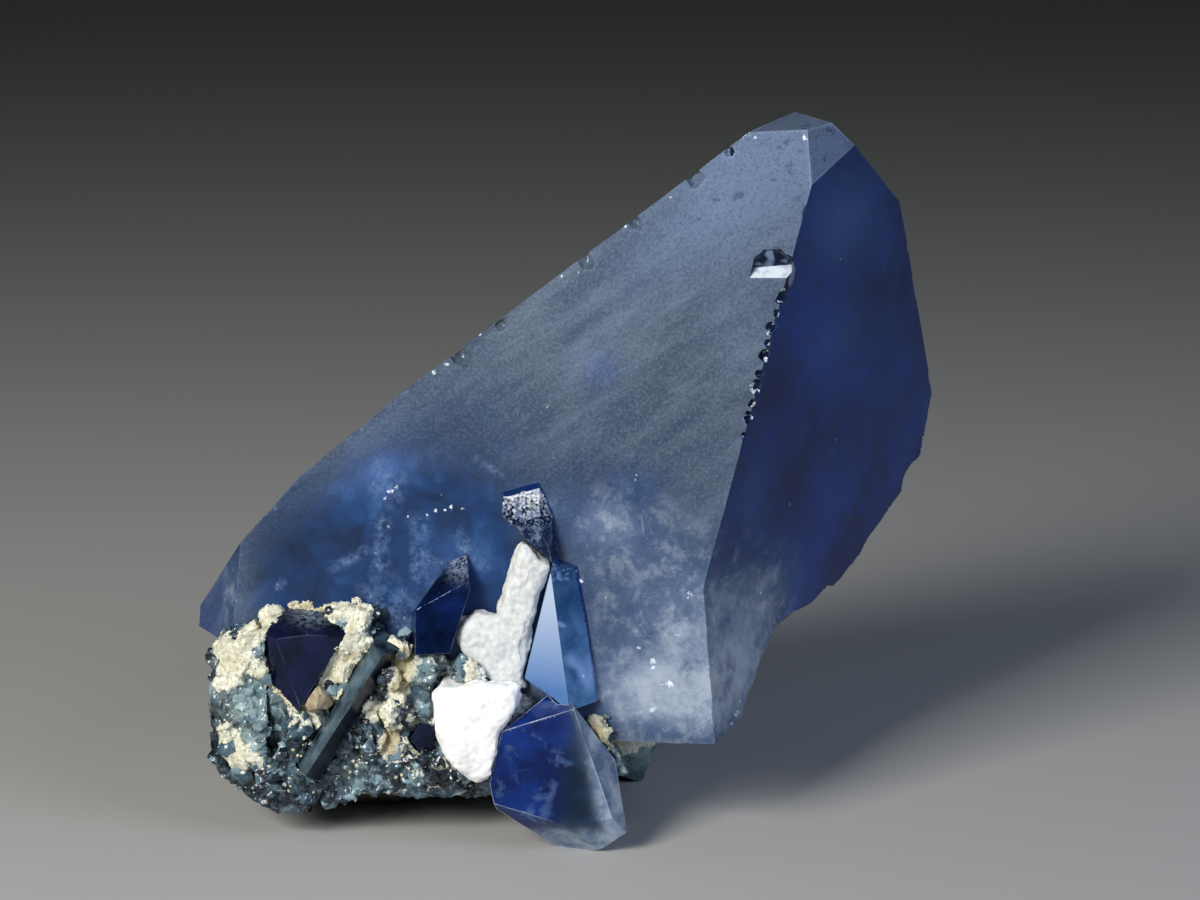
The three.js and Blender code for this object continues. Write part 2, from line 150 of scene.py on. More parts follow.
# Meshes as arrays: points in millimetres and triangles


def node_mesh(node):
    """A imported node's mesh with its loose triangles merged: points in millimetres, triangles as point
    numbers."""
    work = bmesh.new()
    work.from_mesh(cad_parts[node].data)
    bmesh.ops.remove_doubles(work, verts=work.verts, dist=0.0003 * MM)
    bmesh.ops.triangulate(work, faces=work.faces)
    work.verts.index_update()
    points = np.array([v.co[:] for v in work.verts]) / MM
    triangles = np.array([[v.index for v in f.verts] for f in work.faces])
    work.free()
    return points, triangles


def facing(points, triangles):
    """Each triangle's outward unit normal and its area: half the cross product of two sides."""
    a, b, c = (points[triangles[:, k]] for k in range(3))
    cross = np.cross(b - a, c - a)
    length = np.linalg.norm(cross, axis=1)
    return cross / np.maximum(length, 1e-12)[:, None], length / 2


def point_normals(points, triangles):
    """Each point's outward direction: the sum of its triangles' normals times their areas, made one long."""
    normals, areas = facing(points, triangles)
    total = np.zeros_like(points)
    for k in range(3):
        np.add.at(total, triangles[:, k], normals * areas[:, None])
    return total / np.maximum(np.linalg.norm(total, axis=1), 1e-12)[:, None]


def flat_faces(points, triangles, least_area):
    """The number of the flat face that each triangle lies in, the largest first, or -1 on a broken surface. A
    triangle lies in a flat face if its three points do and it faces the same way or is too thin to tell. A
    face smaller than least_area(its middle) counts as broken."""
    normals, areas = facing(points, triangles)
    least = least_area(points[triangles].mean(1))
    arms = points[triangles] - points[np.roll(triangles, 1, axis=1)]
    thin = areas < 0.02 * (np.linalg.norm(arms, axis=2) ** 2).max(1)
    group = np.full(len(triangles), -2)
    count = 0
    for first in np.argsort(-areas):
        if group[first] != -2:
            continue
        level = np.abs((points - points[triangles[first, 0]]) @ normals[first]) < 0.005
        same = (group == -2) & level[triangles].all(1) & ((normals @ normals[first] > 0.999) | thin)
        same[first] = True
        big = areas[same].sum() >= least[first]
        group[same] = count if big else -1
        count += big
    return group


def sides(triangles):
    """Every side of every triangle once, as two point numbers, and for each triangle the numbers of its
    sides."""
    pairs = np.concatenate([triangles[:, [0, 1]], triangles[:, [1, 2]], triangles[:, [2, 0]]]).astype(np.int64)
    many = pairs.max() + 1
    keys, number = np.unique(pairs.min(1) * many + pairs.max(1), return_inverse=True)
    return np.stack([keys // many, keys % many], -1), number.reshape(3, -1).T


SPLITS = {
    0: [(0, 1, 2)],
    1: [(0, 3, 2), (3, 1, 2)],
    2: [(0, 1, 4), (0, 4, 2)],
    4: [(0, 1, 5), (5, 1, 2)],
    3: [(3, 1, 4), (0, 3, 4), (0, 4, 2)],
    6: [(4, 2, 5), (0, 1, 4), (0, 4, 5)],
    5: [(0, 3, 5), (3, 1, 2), (3, 2, 5)],
    7: [(0, 3, 5), (3, 1, 4), (5, 4, 2), (3, 4, 5)],
}


def finer(points, triangles, group, longest, at_breaks=None, at_edges=None, nearby=None, passes=12):
    """Halves every side over `longest`, over `at_breaks` on a broken surface, over `at_edges` where it meets
    a crystal edge, and over nearby(its middle), until none is left. A triangle becomes one to four, by which
    of its sides are halved, and each keeps its flat face's number."""
    for _ in range(passes):
        unique, number = sides(triangles)
        length = np.linalg.norm(points[unique[:, 0]] - points[unique[:, 1]], axis=1)
        limit = np.full(len(unique), float(longest))
        if at_breaks is not None:
            for k in range(3):
                limit[number[group == -1, k]] = at_breaks
        if at_edges is not None:
            sharp = np.isin(np.arange(len(points)), edge_points(triangles, group))
            near = sharp[unique].any(1)
            limit[near] = np.minimum(limit[near], at_edges)
        if nearby is not None:
            limit = np.minimum(limit, nearby(points[unique].mean(1)))
        halved = length > limit
        if not halved.any():
            break
        new = np.full(len(unique), -1)
        new[halved] = len(points) + np.arange(halved.sum())
        points = np.vstack([points, points[unique[halved]].mean(1)])
        corners = np.hstack([triangles, new[number]])
        kind = (halved[number] * [1, 2, 4]).sum(1)
        parts, groups = [], []
        for code, split in SPLITS.items():
            chosen = kind == code
            for corner in split:
                parts.append(corners[chosen][:, corner])
                groups.append(group[chosen])
        triangles, group = np.vstack(parts), np.concatenate(groups)
    return points, triangles, group


def plain_mesh(name, points, triangles):
    """A mesh from arrays of points and triangles."""
    mesh = bpy.data.meshes.new(name)
    mesh.vertices.add(len(points))
    mesh.vertices.foreach_set("co", points.astype(np.float32).ravel())
    mesh.loops.add(triangles.size)
    mesh.loops.foreach_set("vertex_index", triangles.astype(np.int32).ravel())
    mesh.polygons.add(len(triangles))
    mesh.polygons.foreach_set("loop_start", np.arange(0, triangles.size, 3, dtype=np.int32))
    mesh.update(calc_edges=True)
    return mesh


def read(collection, key, width, kind):
    """One property of every item of a mesh collection, as an array with `width` numbers in a row."""
    numbers = np.empty(len(collection) * width, kind)
    collection.foreach_get(key, numbers)
    return numbers.reshape(-1, width)


def even(points, triangles, group):
    """Turns the sides inside each flat face until its triangles are as even as they get, so that none is
    thin."""
    mesh = plain_mesh("even", points, triangles)
    mesh.attributes.new("group", "INT", "FACE").data.foreach_set("value", group.astype(np.int32))
    work = bmesh.new()
    work.from_mesh(mesh)
    number = work.faces.layers.int["group"]
    inner = [
        e
        for e in work.edges
        if len(e.link_faces) == 2 and e.link_faces[0][number] == e.link_faces[1][number] >= 0
    ]
    bmesh.ops.beautify_fill(work, faces=work.faces, edges=inner, use_restrict_tag=False, method="ANGLE")
    work.to_mesh(mesh)
    work.free()
    points = read(mesh.vertices, "co", 3, np.float32).astype(float)
    triangles = read(mesh.loops, "vertex_index", 1, np.int32).reshape(-1, 3)
    group = read(mesh.attributes["group"].data, "value", 1, np.int32).ravel()
    bpy.data.meshes.remove(mesh)
    return points, triangles, group


def edge_points(triangles, group):
    """The points on crystal edges: where triangles of different flat faces, or of one and a broken surface,
    meet."""
    unique, number = sides(triangles)
    low = np.full(len(unique), 10**6)
    high = np.full(len(unique), -10)
    for k in range(3):
        np.minimum.at(low, number[:, k], group)
        np.maximum.at(high, number[:, k], group)
    return np.unique(unique[low != high])


def looks_along(points, triangles, group, direction):
    """Whether each triangle lies in a flat face that, as a whole, looks within 8 degrees of a direction."""
    normals, areas = facing(points, triangles)
    along = (normals @ direction) * areas
    numbered = np.where(group >= 0, group, group.max() + 1)
    mean = np.bincount(numbered, along) / np.maximum(np.bincount(numbered, areas), 1e-12)
    return (group >= 0) & (mean[numbered] > 0.99)


def share_of(points, triangles, chosen):
    """For each point, the share of the area round it that belongs to the chosen triangles."""
    areas = facing(points, triangles)[1]
    part, whole = np.zeros(len(points)), np.full(len(points), 1e-12)
    for k in range(3):
        np.add.at(part, triangles[:, k], areas * chosen)
        np.add.at(whole, triangles[:, k], areas)
    return part / whole


def make_piece(name, points, triangles, node, slot, material, values=(), face_values=(), crease=22):
    """A piece from arrays on body root, with an attribute for each named value. With a node it stands in that
    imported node's place, inside its box; without one it is kept inside the whole specimen's box."""
    low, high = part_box(node) if node else cad_box
    points = np.clip(points, np.array(low) / MM, np.array(high) / MM)
    mesh = plain_mesh(name, points * MM, triangles)
    for domain, named in (("POINT", dict(values)), ("FACE", dict(face_values))):
        for key, numbers in named.items():
            attribute = mesh.attributes.new(key, "FLOAT", domain)
            attribute.data.foreach_set("value", np.asarray(numbers, np.float32))
    mesh.shade_smooth()
    mesh.set_sharp_from_angle(angle=math.radians(crease))
    mesh.materials.append(material)
    piece = bpy.data.objects.new(name, mesh)
    bpy.context.scene.collection.objects.link(piece)
    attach(piece, "root")
    if node:
        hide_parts(node)
    return piece


# Materials. A noise node's second input is one over the width of its largest features in millimetres.

# Benitoite's own IOR, 1.76 to 1.80. Its reflections are kept faint and blue, as in a dark room, because the
# pale floor would otherwise cover the gem's colour.
BENITOITE_GLOSS = {"IOR": 1.77, "Specular_IOR_Level": 0.2, "Specular_Tint": "#a0c0ff"}


def linear(code):
    """An sRGB hex colour as linear red, green, blue and 1."""
    parts = [int(code[k : k + 2], 16) / 255 for k in (1, 3, 5)]
    return (*[c / 12.92 if c <= 0.04045 else ((c + 0.055) / 1.055) ** 2.4 for c in parts], 1)


def add(tree, kind, *inputs, out=None, **named):
    """Adds a node and gives its output `out`, or its first one in use. `inputs` fill the inputs in use, in
    order. A name that the node itself has is a setting; any other is an input, with _ for a space. An input
    takes a number, a colour code or another node's output."""
    node = tree.nodes.new("ShaderNode" + kind)
    for key in [key for key in named if hasattr(node, key)]:
        setattr(node, key, named.pop(key))
    pairs = list(zip([socket for socket in node.inputs if socket.enabled], inputs))
    pairs += [(node.inputs[key.replace("_", " ")], value) for key, value in named.items()]
    for socket, value in pairs:
        if isinstance(value, bpy.types.NodeSocket):
            tree.links.new(value, socket)
        else:
            socket.default_value = linear(value) if isinstance(value, str) else value
    if out:
        return node.outputs[out]
    return next((socket for socket in node.outputs if socket.enabled), None)


def new_material(name, *carried):
    """An empty material with its node tree, the place on the piece in millimetres, and by name the numbers
    that the piece carries."""
    material = bpy.data.materials.new(name)
    material.use_nodes = True
    tree = material.node_tree
    tree.nodes.clear()
    place = add(tree, "VectorMath", add(tree, "TexCoord", out="Object"), 1 / MM, operation="SCALE")
    marks = {key: add(tree, "Attribute", out="Fac", attribute_name=key) for key in carried}
    return material, tree, place, SimpleNamespace(**marks)


def layers(tree, under, *coats, kind="RGBA"):
    """Coats of colour over `under`, one after the other, or of a number with kind="FLOAT". A coat names its
    colour, its pattern, the pattern's values where the coat starts and where it is whole, 0 and 1 if left
    out, and its greatest share, 1 if left out."""
    for coat, pattern, *limits in coats:
        low, high, most = (*limits, *(0.0, 1.0, 1.0)[len(limits) :])
        share = add(tree, "MapRange", pattern, low, high, 0.0, most)
        under = add(tree, "Mix", share, under, coat, data_type=kind)
    return under


def with_surface(material, tree, colour, relief, depth, height, inside=None, **gloss):
    """The material with its surface: the colour, a relief `depth` millimetres deep at strength `relief`, the
    shader's own values, and with `inside` the colour and density of its absorption."""
    bump = add(tree, "Bump", Strength=relief, Distance=depth * MM, Height=height)
    surface = add(tree, "BsdfPrincipled", Base_Color=colour, Normal=bump, **gloss)
    volume = {"Volume": add(tree, "VolumeAbsorption", *inside)} if inside else {}
    add(tree, "OutputMaterial", Surface=surface, **volume)
    return material


def benitoite_big():
    """Benitoite, a clear blue gem mineral. Growth and etching left the front face frosted, which the eye sees
    as a grey-blue bloom; the other faces are bright; veils and clouds of healed cracks lie inside. The etch
    pits are finer than the render shows, so they are drawn 0.08 mm wide. Growth bands run 36 degrees from
    level."""
    material, tree, place, mark = new_material(
        "benitoite_frosted_and_clear",
        *"etched light clear veil haze glow sparkle broken worn chip cap wedge strip vault dull".split(),
    )
    height = add(tree, "SeparateXYZ", place, out="Z")
    broad = add(tree, "TexNoise", place, 1 / 3.2, 4)
    mottle = add(tree, "TexNoise", place, 1 / 0.9, 5, 0.6)
    grit = add(tree, "TexNoise", place, 1 / 0.08, 2)
    wisps = add(tree, "TexNoise", place, 1 / 1.1, 6, 0.6, Distortion=0.4)
    puffs = add(tree, "TexNoise", place, 1 / 0.8, 6, 0.72, Distortion=0.2)
    slanted = {"vector_type": "TEXTURE", "Rotation": (0.0, math.radians(-36), 0.0), "Scale": (5.0, 1.0, 0.8)}
    bands = add(tree, "TexNoise", add(tree, "Mapping", place, **slanted), 1 / 0.9, 4, 0.6)

    deep = layers(
        tree,
        "#05205e",
        ("#1a4ca8", broad, 0.36, 0.66),
        ("#2a68c2", add(tree, "TexNoise", place, 1 / 0.5, 4, 0.6), 0.55, 0.75, 0.35),
        ("#62a0fa", mark.glow),
    )
    pits = add(tree, "MapRange", add(tree, "TexNoise", place, 1 / 0.34, 2), 0.6, 0.7)
    pits = add(tree, "Math", pits, add(tree, "MapRange", mark.light, 0.6, 0.9), operation="MULTIPLY")
    frost = layers(
        tree,
        "#414c58",
        ("#586470", mottle, 0.3, 0.7),
        ("#717e8c", bands, 0.45, 0.66, 0.65),
        ("#313e4e", bands, 0.46, 0.3, 0.55),
        ("#6c7e99", mark.light, 0.5, 1.0),
        ("#334256", mark.light, 0.5, 0.0),
        ("#35435a", pits, 0.0, 1.0, 0.6),
        ("#7788a0", grit, 0.5, 0.75, 0.4),
        ("#26323f", grit, 0.5, 0.25, 0.4),
        ("#4a68b0", mark.glow, 0.0, 1.0, 0.7),
    )
    ragged = add(tree, "MapRange", add(tree, "TexNoise", place, 1 / 0.3, 5, 0.75), 0.42, 0.62)
    torn = add(tree, "Math", ragged, add(tree, "MapRange", mark.veil, 0.1, 0.9), operation="MULTIPLY")
    glints = add(tree, "MapRange", add(tree, "TexNoise", place, 1 / 0.1, 2), 0.66, 0.7)
    inner = layers(
        tree,
        "#1a2e4e",
        ("#28528c", wisps, 0.36, 0.62),
        ("#4a78b4", wisps, 0.58, 0.72, 0.7),
        ("#101a2e", mark.light, 0.5, 0.0),
        ("#5f8fe0", mark.glow, 0.0, 1.0, 0.8),
        ("#82a4d6", torn, 0.0, 1.0, 0.7),
        ("#c6d6ee", add(tree, "Math", torn, glints, operation="MULTIPLY")),
    )
    cover = add(tree, "MapRange", mark.haze, 0.05, 0.45)
    seams = add(tree, "TexNoise", place, 1 / 0.7, 2, 0.4, Distortion=1.0)
    off_seam = add(tree, "Math", add(tree, "Math", seams, 0.5, operation="SUBTRACT"), operation="ABSOLUTE")
    crackle = add(tree, "MapRange", wisps, 0.54, 0.68, 0.0, 0.35)
    crackle = add(tree, "Math", crackle, add(tree, "MapRange", off_seam, 0.014, 0.0), operation="MULTIPLY")
    cloud = layers(
        tree,
        "#364e70",
        ("#93a2b6", mark.haze, 0.3, 1.0),
        ("#c2ccd8", mark.haze, 0.85, 1.0, 0.3),
        ("#263b68", puffs, 0.5, 0.3, 0.7),
        ("#c6d0dd", puffs, 0.5, 0.75, 0.6),
        ("#d3dce8", crackle),
    )
    # pale streaks on the wedge from veils and puffs; the V of veils there is a painted glint
    pale = add(tree, "Math", mark.veil, add(tree, "MapRange", puffs, 0.6, 0.68), operation="MAXIMUM")
    blue = layers(
        tree, "#2c5c98", ("#6a9ed6", wisps, 0.36, 0.66), ("#24466e", height, 5.6, 7.6, 0.7), ("#8fb8f6", pale)
    )
    sheen = layers(tree, "#5078b2", ("#aec2dc", height, 4.5, 7.0))
    grainy_height = add(tree, "Math", grit, 2.8, height, operation="MULTIPLY_ADD")
    dust = add(tree, "TexNoise", place, 1 / 0.3, 3, 0.6)
    # the cap: dark, with a grainy painted glint over its top that also covers the notch's sill, and grey-blue
    # specks
    dark_cap_and_painted_glint = layers(tree, "#0d1b38", ("#d6dfe8", grainy_height, 10.6, 11.4), ("#7f93b0", dust, 0.5, 0.66, 0.6))
    shards = layers(tree, "#0d1830", ("#dbe4ee", add(tree, "TexNoise", place, 1 / 0.2, 2), 0.55, 0.6))
    # painted shade on the notch's walls and roof, with paler patches
    painted_notch_shade = layers(tree, "#0a1326", ("#6f819c", add(tree, "TexNoise", place, 1 / 0.5, 1), 0.56, 0.62))
    # painted glints at the bright points, broken up by fine noise
    painted_glints = add(tree, "TexNoise", place, 1 / 0.09, 3, 0.6)
    painted_glints = add(tree, "Math", painted_glints, 2.2, mark.sparkle, operation="MULTIPLY_ADD")
    painted_glints = add(tree, "MapRange", painted_glints, 1.6, 1.95)
    # where each part of the crystal is, its colour, and the share of light it lets through
    parts = (
        (mark.etched, frost, 0.25),
        (mark.clear, inner, 0.5),
        (cover, cloud, 0.2),
        (mark.wedge, blue, 0.4),
        (mark.strip, sheen, 0.15),
        (mark.cap, dark_cap_and_painted_glint, 0.1),
        (mark.chip, shards, 0.15),
        (mark.vault, painted_notch_shade, 0.2),
    )
    colour = layers(tree, deep, *((look, where) for where, look, _ in parts))
    # pale edges, for wear and as a painted edge highlight; then the painted glints
    colour = layers(tree, colour, ("#a3b6d2", mark.worn, 0.0, 1.0, 0.6), ("#dfe9f5", painted_glints))
    through = layers(tree, 0.65, *((share, where) for where, _, share in parts), (0.0, painted_glints), kind="FLOAT")
    frosted = layers(tree, 0.5, (0.3, mark.clear), kind="FLOAT")
    rough = layers(tree, 0.1, (frosted, mark.etched), (0.2, mark.broken), (0.72, mark.dull), kind="FLOAT")
    bloom = layers(tree, 0.4, (0.15, mark.clear), kind="FLOAT")
    relief = layers(tree, 0.04, (bloom, mark.etched), kind="FLOAT")
    uneven = add(tree, "Mix", 0.4, grit, mottle)
    return with_surface(
        material, tree, colour, relief, depth=0.05, height=uneven, inside=("#3f9cfc", 220.0),
        Roughness=rough, Transmission_Weight=through, **BENITOITE_GLOSS,
    )


def benitoite_foot():
    """Benitoite again, with bright faces: deep blue where its colour zone lies and nearly clear at its
    edge."""
    material, tree, place, mark = new_material("benitoite_bright", "zone", "rim", "worn")
    broad = add(tree, "TexNoise", place, 1 / 1.1, 4, 0.6)
    wisps = add(tree, "TexNoise", place, 1 / 0.7, 6, 0.65, Distortion=0.6)
    colour = layers(
        tree,
        "#041c66",
        ("#1546b0", broad, 0.38, 0.68),
        (layers(tree, "#182636", ("#36506c", broad, 0.4, 0.75)), mark.zone),
        ("#6c90cc", wisps, 0.56, 0.7, 0.7),
        (layers(tree, "#7890ae", ("#ccdae8", wisps, 0.4, 0.65)), mark.rim),
        # pale edges, for wear and as a painted edge highlight
        ("#c8d4e2", mark.worn, 0.0, 0.625),
    )
    return with_surface(
        material, tree, colour, relief=0.06, depth=0.04, height=add(tree, "TexNoise", place, 1 / 0.5, 3),
        inside=("#5a86f0", 330.0),
        Roughness=layers(tree, 0.06, (0.3, mark.worn), kind="FLOAT"),
        Transmission_Weight=layers(tree, 0.6, (0.4, mark.rim), (0.2, mark.worn), kind="FLOAT"),
        **BENITOITE_GLOSS,
    )


def dark_crystal(name, low, high, edge, rough, through):
    """A small crystal so deep in colour that it looks nearly black, with bright faces, dust specks, a painted
    highlight grained like dust where it is lit, painted shade on its faces that look to +X, and pale edges of
    wear and painted highlight."""
    material, tree, place, mark = new_material(name, "worn", "sunless", "lit")
    dust = add(tree, "TexNoise", place, 1 / 0.12, 3, 0.7)
    colour = layers(
        tree,
        low,
        (high, add(tree, "TexNoise", place, 1 / 0.8, 4, 0.6), 0.35, 0.7),
        # painted shade: faces that look away from the key light go back to the dark tone
        (low, mark.sunless),
        # painted highlight where lit, grained by the dust noise
        (edge, add(tree, "Math", mark.lit, add(tree, "MapRange", dust, 0.4, 0.6), operation="MULTIPLY")),
        (edge, dust, 0.7, 0.8, 0.5),
        # pale edges, for wear and as a painted edge highlight
        (edge, mark.worn, 0.0, 1.0, 0.35),
    )
    return with_surface(
        material, tree, colour, relief=0.25, depth=0.03, height=add(tree, "TexNoise", place, 1 / 0.22, 4, 0.6),
        Roughness=layers(tree, rough, (0.5, mark.worn), kind="FLOAT"), Transmission_Weight=through,
        **BENITOITE_GLOSS,
    )


def natrolite(name, low, high, stained):
    """Natrolite in white sugary grains of about 0.1 mm, which scatter light like sugar, so that it looks matt
    and soft. They are drawn 0.18 mm wide, so that they show."""
    material, tree, place, mark = new_material(name, "dusty")
    grains = add(tree, "TexNoise", place, 1 / 0.18, 4, 0.65)
    colour = layers(
        tree,
        low,
        (high, grains, 0.3, 0.65),
        ("#d6cfba", add(tree, "TexNoise", place, 1 / 1.3, 4, 0.6), 0.6, 0.85, stained),
        ("#a99f86", mark.dusty, 0.0, 1.0, stained),
    )
    return with_surface(
        material, tree, colour, relief=0.4, depth=0.03, height=grains, Roughness=0.72, IOR=1.48,
        Subsurface_Weight=0.15, Subsurface_Scale=0.4 * MM,
    )


def waxy_grain():
    """A waxy beige grain of an altered mineral, half a millimetre to one across, with a soft gleam."""
    material, tree, place, _ = new_material("beige_waxy_grain")
    tone = add(tree, "TexNoise", place, 1 / 0.35, 4, 0.6)
    colour = layers(tree, "#7d7058", ("#b3a78c", tone, 0.3, 0.7))
    return with_surface(
        material, tree, colour, relief=0.3, depth=0.03, height=tone, Roughness=0.45, IOR=1.55
    )


def blueschist():
    """Glassy blue-green grains of the host rock, with a dull cream and ochre crust of weathered natrolite in
    the seams between them: the grains are bright and dark, the crust is matt and pale."""
    material, tree, place, mark = new_material(
        "blueschist_glassy_with_crust", "crust", "tint", "shade", "pale", "ochre", "white"
    )
    fine = add(tree, "TexNoise", place, 1 / 0.2, 5, 0.65)
    pale = add(tree, "TexNoise", place, 1 / 0.45, 4, 0.6)
    grains = layers(
        tree,
        "#121d28",
        ("#3b5566", mark.tint, 0.3, 0.75),
        ("#87a2ae", mark.tint, 0.8, 0.95),
        (layers(tree, "#55727a", ("#aabfbe", pale, 0.4, 0.6)), mark.pale),
        ("#93abb6", fine, 0.5, 0.75, 0.5),
        ("#0f1a22", fine, 0.45, 0.3, 0.5),
    )
    soiled = add(tree, "MapRange", mark.crust, 0.9, 1.0, 0.0, 0.6)
    crust = layers(
        tree,
        "#bbbca6",
        ("#e6e9da", add(tree, "TexNoise", place, 1 / 0.12, 3, 0.6), 0.36, 0.58),
        ("#a89c78", add(tree, "Math", mark.tint, soiled, operation="MULTIPLY")),
        ("#d8dcdb", mark.white),
        ("#a8904e", add(tree, "TexNoise", place, 1 / 1.4, 4, 0.6), 0.55, 0.78, 0.5),
        ("#93803c", mark.ochre, 0.0, 1.0, 0.8),
    )
    ragged = add(tree, "Math", mark.crust, add(tree, "MapRange", fine, 0.3, 0.7, 0.0, 0.4), operation="ADD")
    colour = layers(tree, grains, (crust, ragged, 0.5, 0.72), ("#14181a", mark.shade))
    return with_surface(
        material, tree, colour, relief=0.4, depth=0.05, height=fine,
        Roughness=layers(tree, 0.16, (0.85, ragged, 0.5, 0.72), kind="FLOAT"), IOR=1.62,
    )


# The big crystal. Places on its front are x and z in millimetres.

FRONT_NORMAL = np.array([-0.1215, -0.9895, 0.0785])  # the way the large pale face looks
FRONT_REACH = 5.0247  # how far that face lies from the frame's origin
TOP_FACET_NORMAL = np.array([0.6895, -0.714, 0.1219])  # the way the small facet right of the tip looks
TIP_LOW = 17  # the tip's small faces lie wholly above this height
CAP_LOW = 8.05  # what stands out from the front is the cap above this height, and the wedge below it
NOTCH = (5.4, 15.8)
CHIPPED_EDGE = 4.3  # chips right of this x lie along the front's right edge
BROKEN_BACK = -1.8  # behind this y, the crystal is mostly broken

# Soft spots on the front as x, z, half width and half height in mm, turn in degrees, strength: painted light
# and shade on the frost, clouds of healed cracks, the clear blue zone, and a painted glow where deep blue
# lights up

LIGHT = [
    (4.9, 18.6, 2.6, 1.7, 35, 0.5), (2.6, 16.4, 2.6, 1.0, 38, 0.2), (4.6, 14.6, 0.9, 2.4, 0, 0.12),
    (-3.3, 11.6, 1.6, 1.5, 38, -0.3), (3.9, 10.6, 1.3, 1.8, 0, -0.22), (-0.6, 10.2, 1.7, 0.9, 10, -0.25),
    (7.0, 18.8, 0.8, 1.0, 0, 0.4), (1.4, 11.8, 1.6, 0.5, -15, -0.15), (-8.3, 8.4, 0.9, 1.7, -55, -0.35),
    (-7.0, 7.0, 1.2, 0.6, 0, -0.2),
]
CLOUDS = [
    (3.0, 6.6, 2.6, 2.2, 20, 0.5), (2.6, 4.3, 2.0, 1.0, 0, 0.95), (0.9, 9.0, 1.5, 1.0, 0, 0.5),
    (4.6, 4.6, 1.4, 1.7, 0, 0.6), (5.6, 6.2, 1.1, 1.2, 0, 0.5), (-9.5, 6.8, 0.5, 1.2, 0, 0.45),
]
CLEAR_BLUE = [
    (-6.2, 8.0, 3.6, 2.3, 25, 1.0), (-3.2, 8.4, 2.4, 2.2, 20, 1.0), (-4.4, 6.2, 4.0, 1.8, 0, 1.0),
    (1.4, 10.0, 1.2, 0.6, 0, 0.55),
]
GLOW = [
    (7.5, 17.0, 1.0, 1.3, 0, 0.5), (7.7, 13.6, 1.0, 1.3, 0, 0.25), (9.2, 14.2, 0.35, 3.0, 12, 0.3),
    (6.2, 6.4, 0.8, 1.2, 30, 0.4), (5.0, 9.4, 0.5, 1.6, 0, 0.15), (9.75, 12.0, 0.3, 1.6, 0, 0.25),
    (0.83, 13.13, 0.5, 0.5, 0, 0.4), (-5.2, 10.2, 0.7, 0.5, 30, 0.7), (-3.2, 7.2, 0.6, 1.2, 0, 0.45),
]

# Streaks on the front as start, end and radius: veils of healed cracks; the last two, a V on the wedge, are a
# painted glint

VEILS = [
    ((-5.1, 10.1), (-4.9, 9.6), 0.5), ((-5.2, 8.9), (-5.25, 7.6), 0.22), ((-4.1, 8.7), (-3.95, 7.3), 0.3),
    ((-3.9, 7.9), (-2.9, 7.5), 0.2), ((-3.0, 8.5), (-2.5, 7.7), 0.22), ((-5.0, 6.7), (-4.3, 6.0), 0.7),
    ((-6.3, 7.6), (-5.7, 7.9), 0.2), ((-8.1, 6.8), (-7.8, 7.1), 0.14), ((-2.4, 10.75), (-1.8, 10.0), 0.09),
    ((-9.7, 7.1), (-9.5, 6.4), 0.3), ((0.05, 5.5), (0.37, 4.75), 0.2), ((0.37, 4.75), (0.6, 5.4), 0.18),
]

# Painted glints as x, z, radius and strength: bright points where healed cracks face the light, and on chips
# along the edges

SPARKS = [
    (4.7, 19.5, 0.14, 0.9), (4.95, 19.4, 0.08, 0.7), (6.25, 19.42, 0.12, 0.9), (2.7, 17.8, 0.08, 0.7),
    (1.72, 17.16, 0.1, 0.9), (1.52, 16.98, 0.1, 0.9), (0.26, 15.75, 0.08, 0.7), (-0.22, 15.65, 0.08, 0.7),
    (-2.42, 14.03, 0.1, 0.8), (-3.32, 13.18, 0.1, 0.8), (-3.68, 12.95, 0.1, 0.9), (-0.58, 12.07, 0.08, 0.9),
    (2.8, 15.38, 0.06, 0.5), (-4.88, 9.67, 0.12, 1.0), (-4.7, 9.8, 0.08, 1.0), (-5.02, 9.5, 0.08, 0.8),
    (-3.48, 9.62, 0.07, 0.8), (-3.22, 9.28, 0.1, 1.0), (-3.4, 9.2, 0.06, 0.9), (-3.66, 9.16, 0.08, 0.9),
    (-3.88, 9.05, 0.07, 0.9), (-2.92, 9.25, 0.06, 0.7), (-4.93, 8.69, 0.08, 0.7), (-4.4, 9.0, 0.05, 0.8),
    (2.29, 5.2, 0.14, 1.0), (2.29, 5.06, 0.12, 1.0), (2.73, 4.61, 0.17, 0.9), (2.5, 4.6, 0.1, 0.8),
    (2.29, 3.9, 0.12, 0.9), (1.93, 3.8, 0.1, 0.6), (3.27, 7.08, 0.12, 0.9), (3.52, 7.01, 0.08, 0.7),
    (3.19, 6.4, 0.09, 0.7), (2.96, 5.95, 0.09, 0.7), (1.89, 5.6, 0.08, 0.7), (5.3, 6.53, 0.08, 0.7),
    (5.45, 6.15, 0.07, 0.6), (1.78, 10.17, 0.07, 0.9), (1.79, 10.3, 0.05, 0.8), (0.57, 9.18, 0.07, 0.7),
    (1.4, 9.72, 0.06, 0.7), (0.33, 7.37, 0.1, 0.9), (0.17, 7.63, 0.08, 0.7), (0.97, 6.93, 0.08, 0.7),
    (1.13, 6.7, 0.06, 0.6), (0.37, 4.86, 0.1, 0.7), (7.37, 15.89, 0.08, 0.7), (7.43, 10.53, 0.1, 0.45),
    (6.41, 11.04, 0.09, 0.3), (5.58, 10.98, 0.08, 0.3), (6.08, 9.0, 0.09, 0.6), (7.84, 18.41, 0.14, 0.4),
    (5.33, 14.22, 0.09, 0.9), (5.25, 13.71, 0.1, 0.8), (4.88, 12.76, 0.09, 0.9), (4.98, 12.34, 0.08, 0.8),
    (5.74, 15.4, 0.08, 0.8), (4.73, 11.84, 0.07, 0.7), (4.6, 3.5, 0.1, 0.8), (4.7, 3.8, 0.08, 0.6),
    (4.45, 3.3, 0.1, 0.6), (8.5, 7.6, 0.12, 0.45), (7.8, 6.55, 0.14, 0.45), (7.4, 6.2, 0.12, 0.35),
]


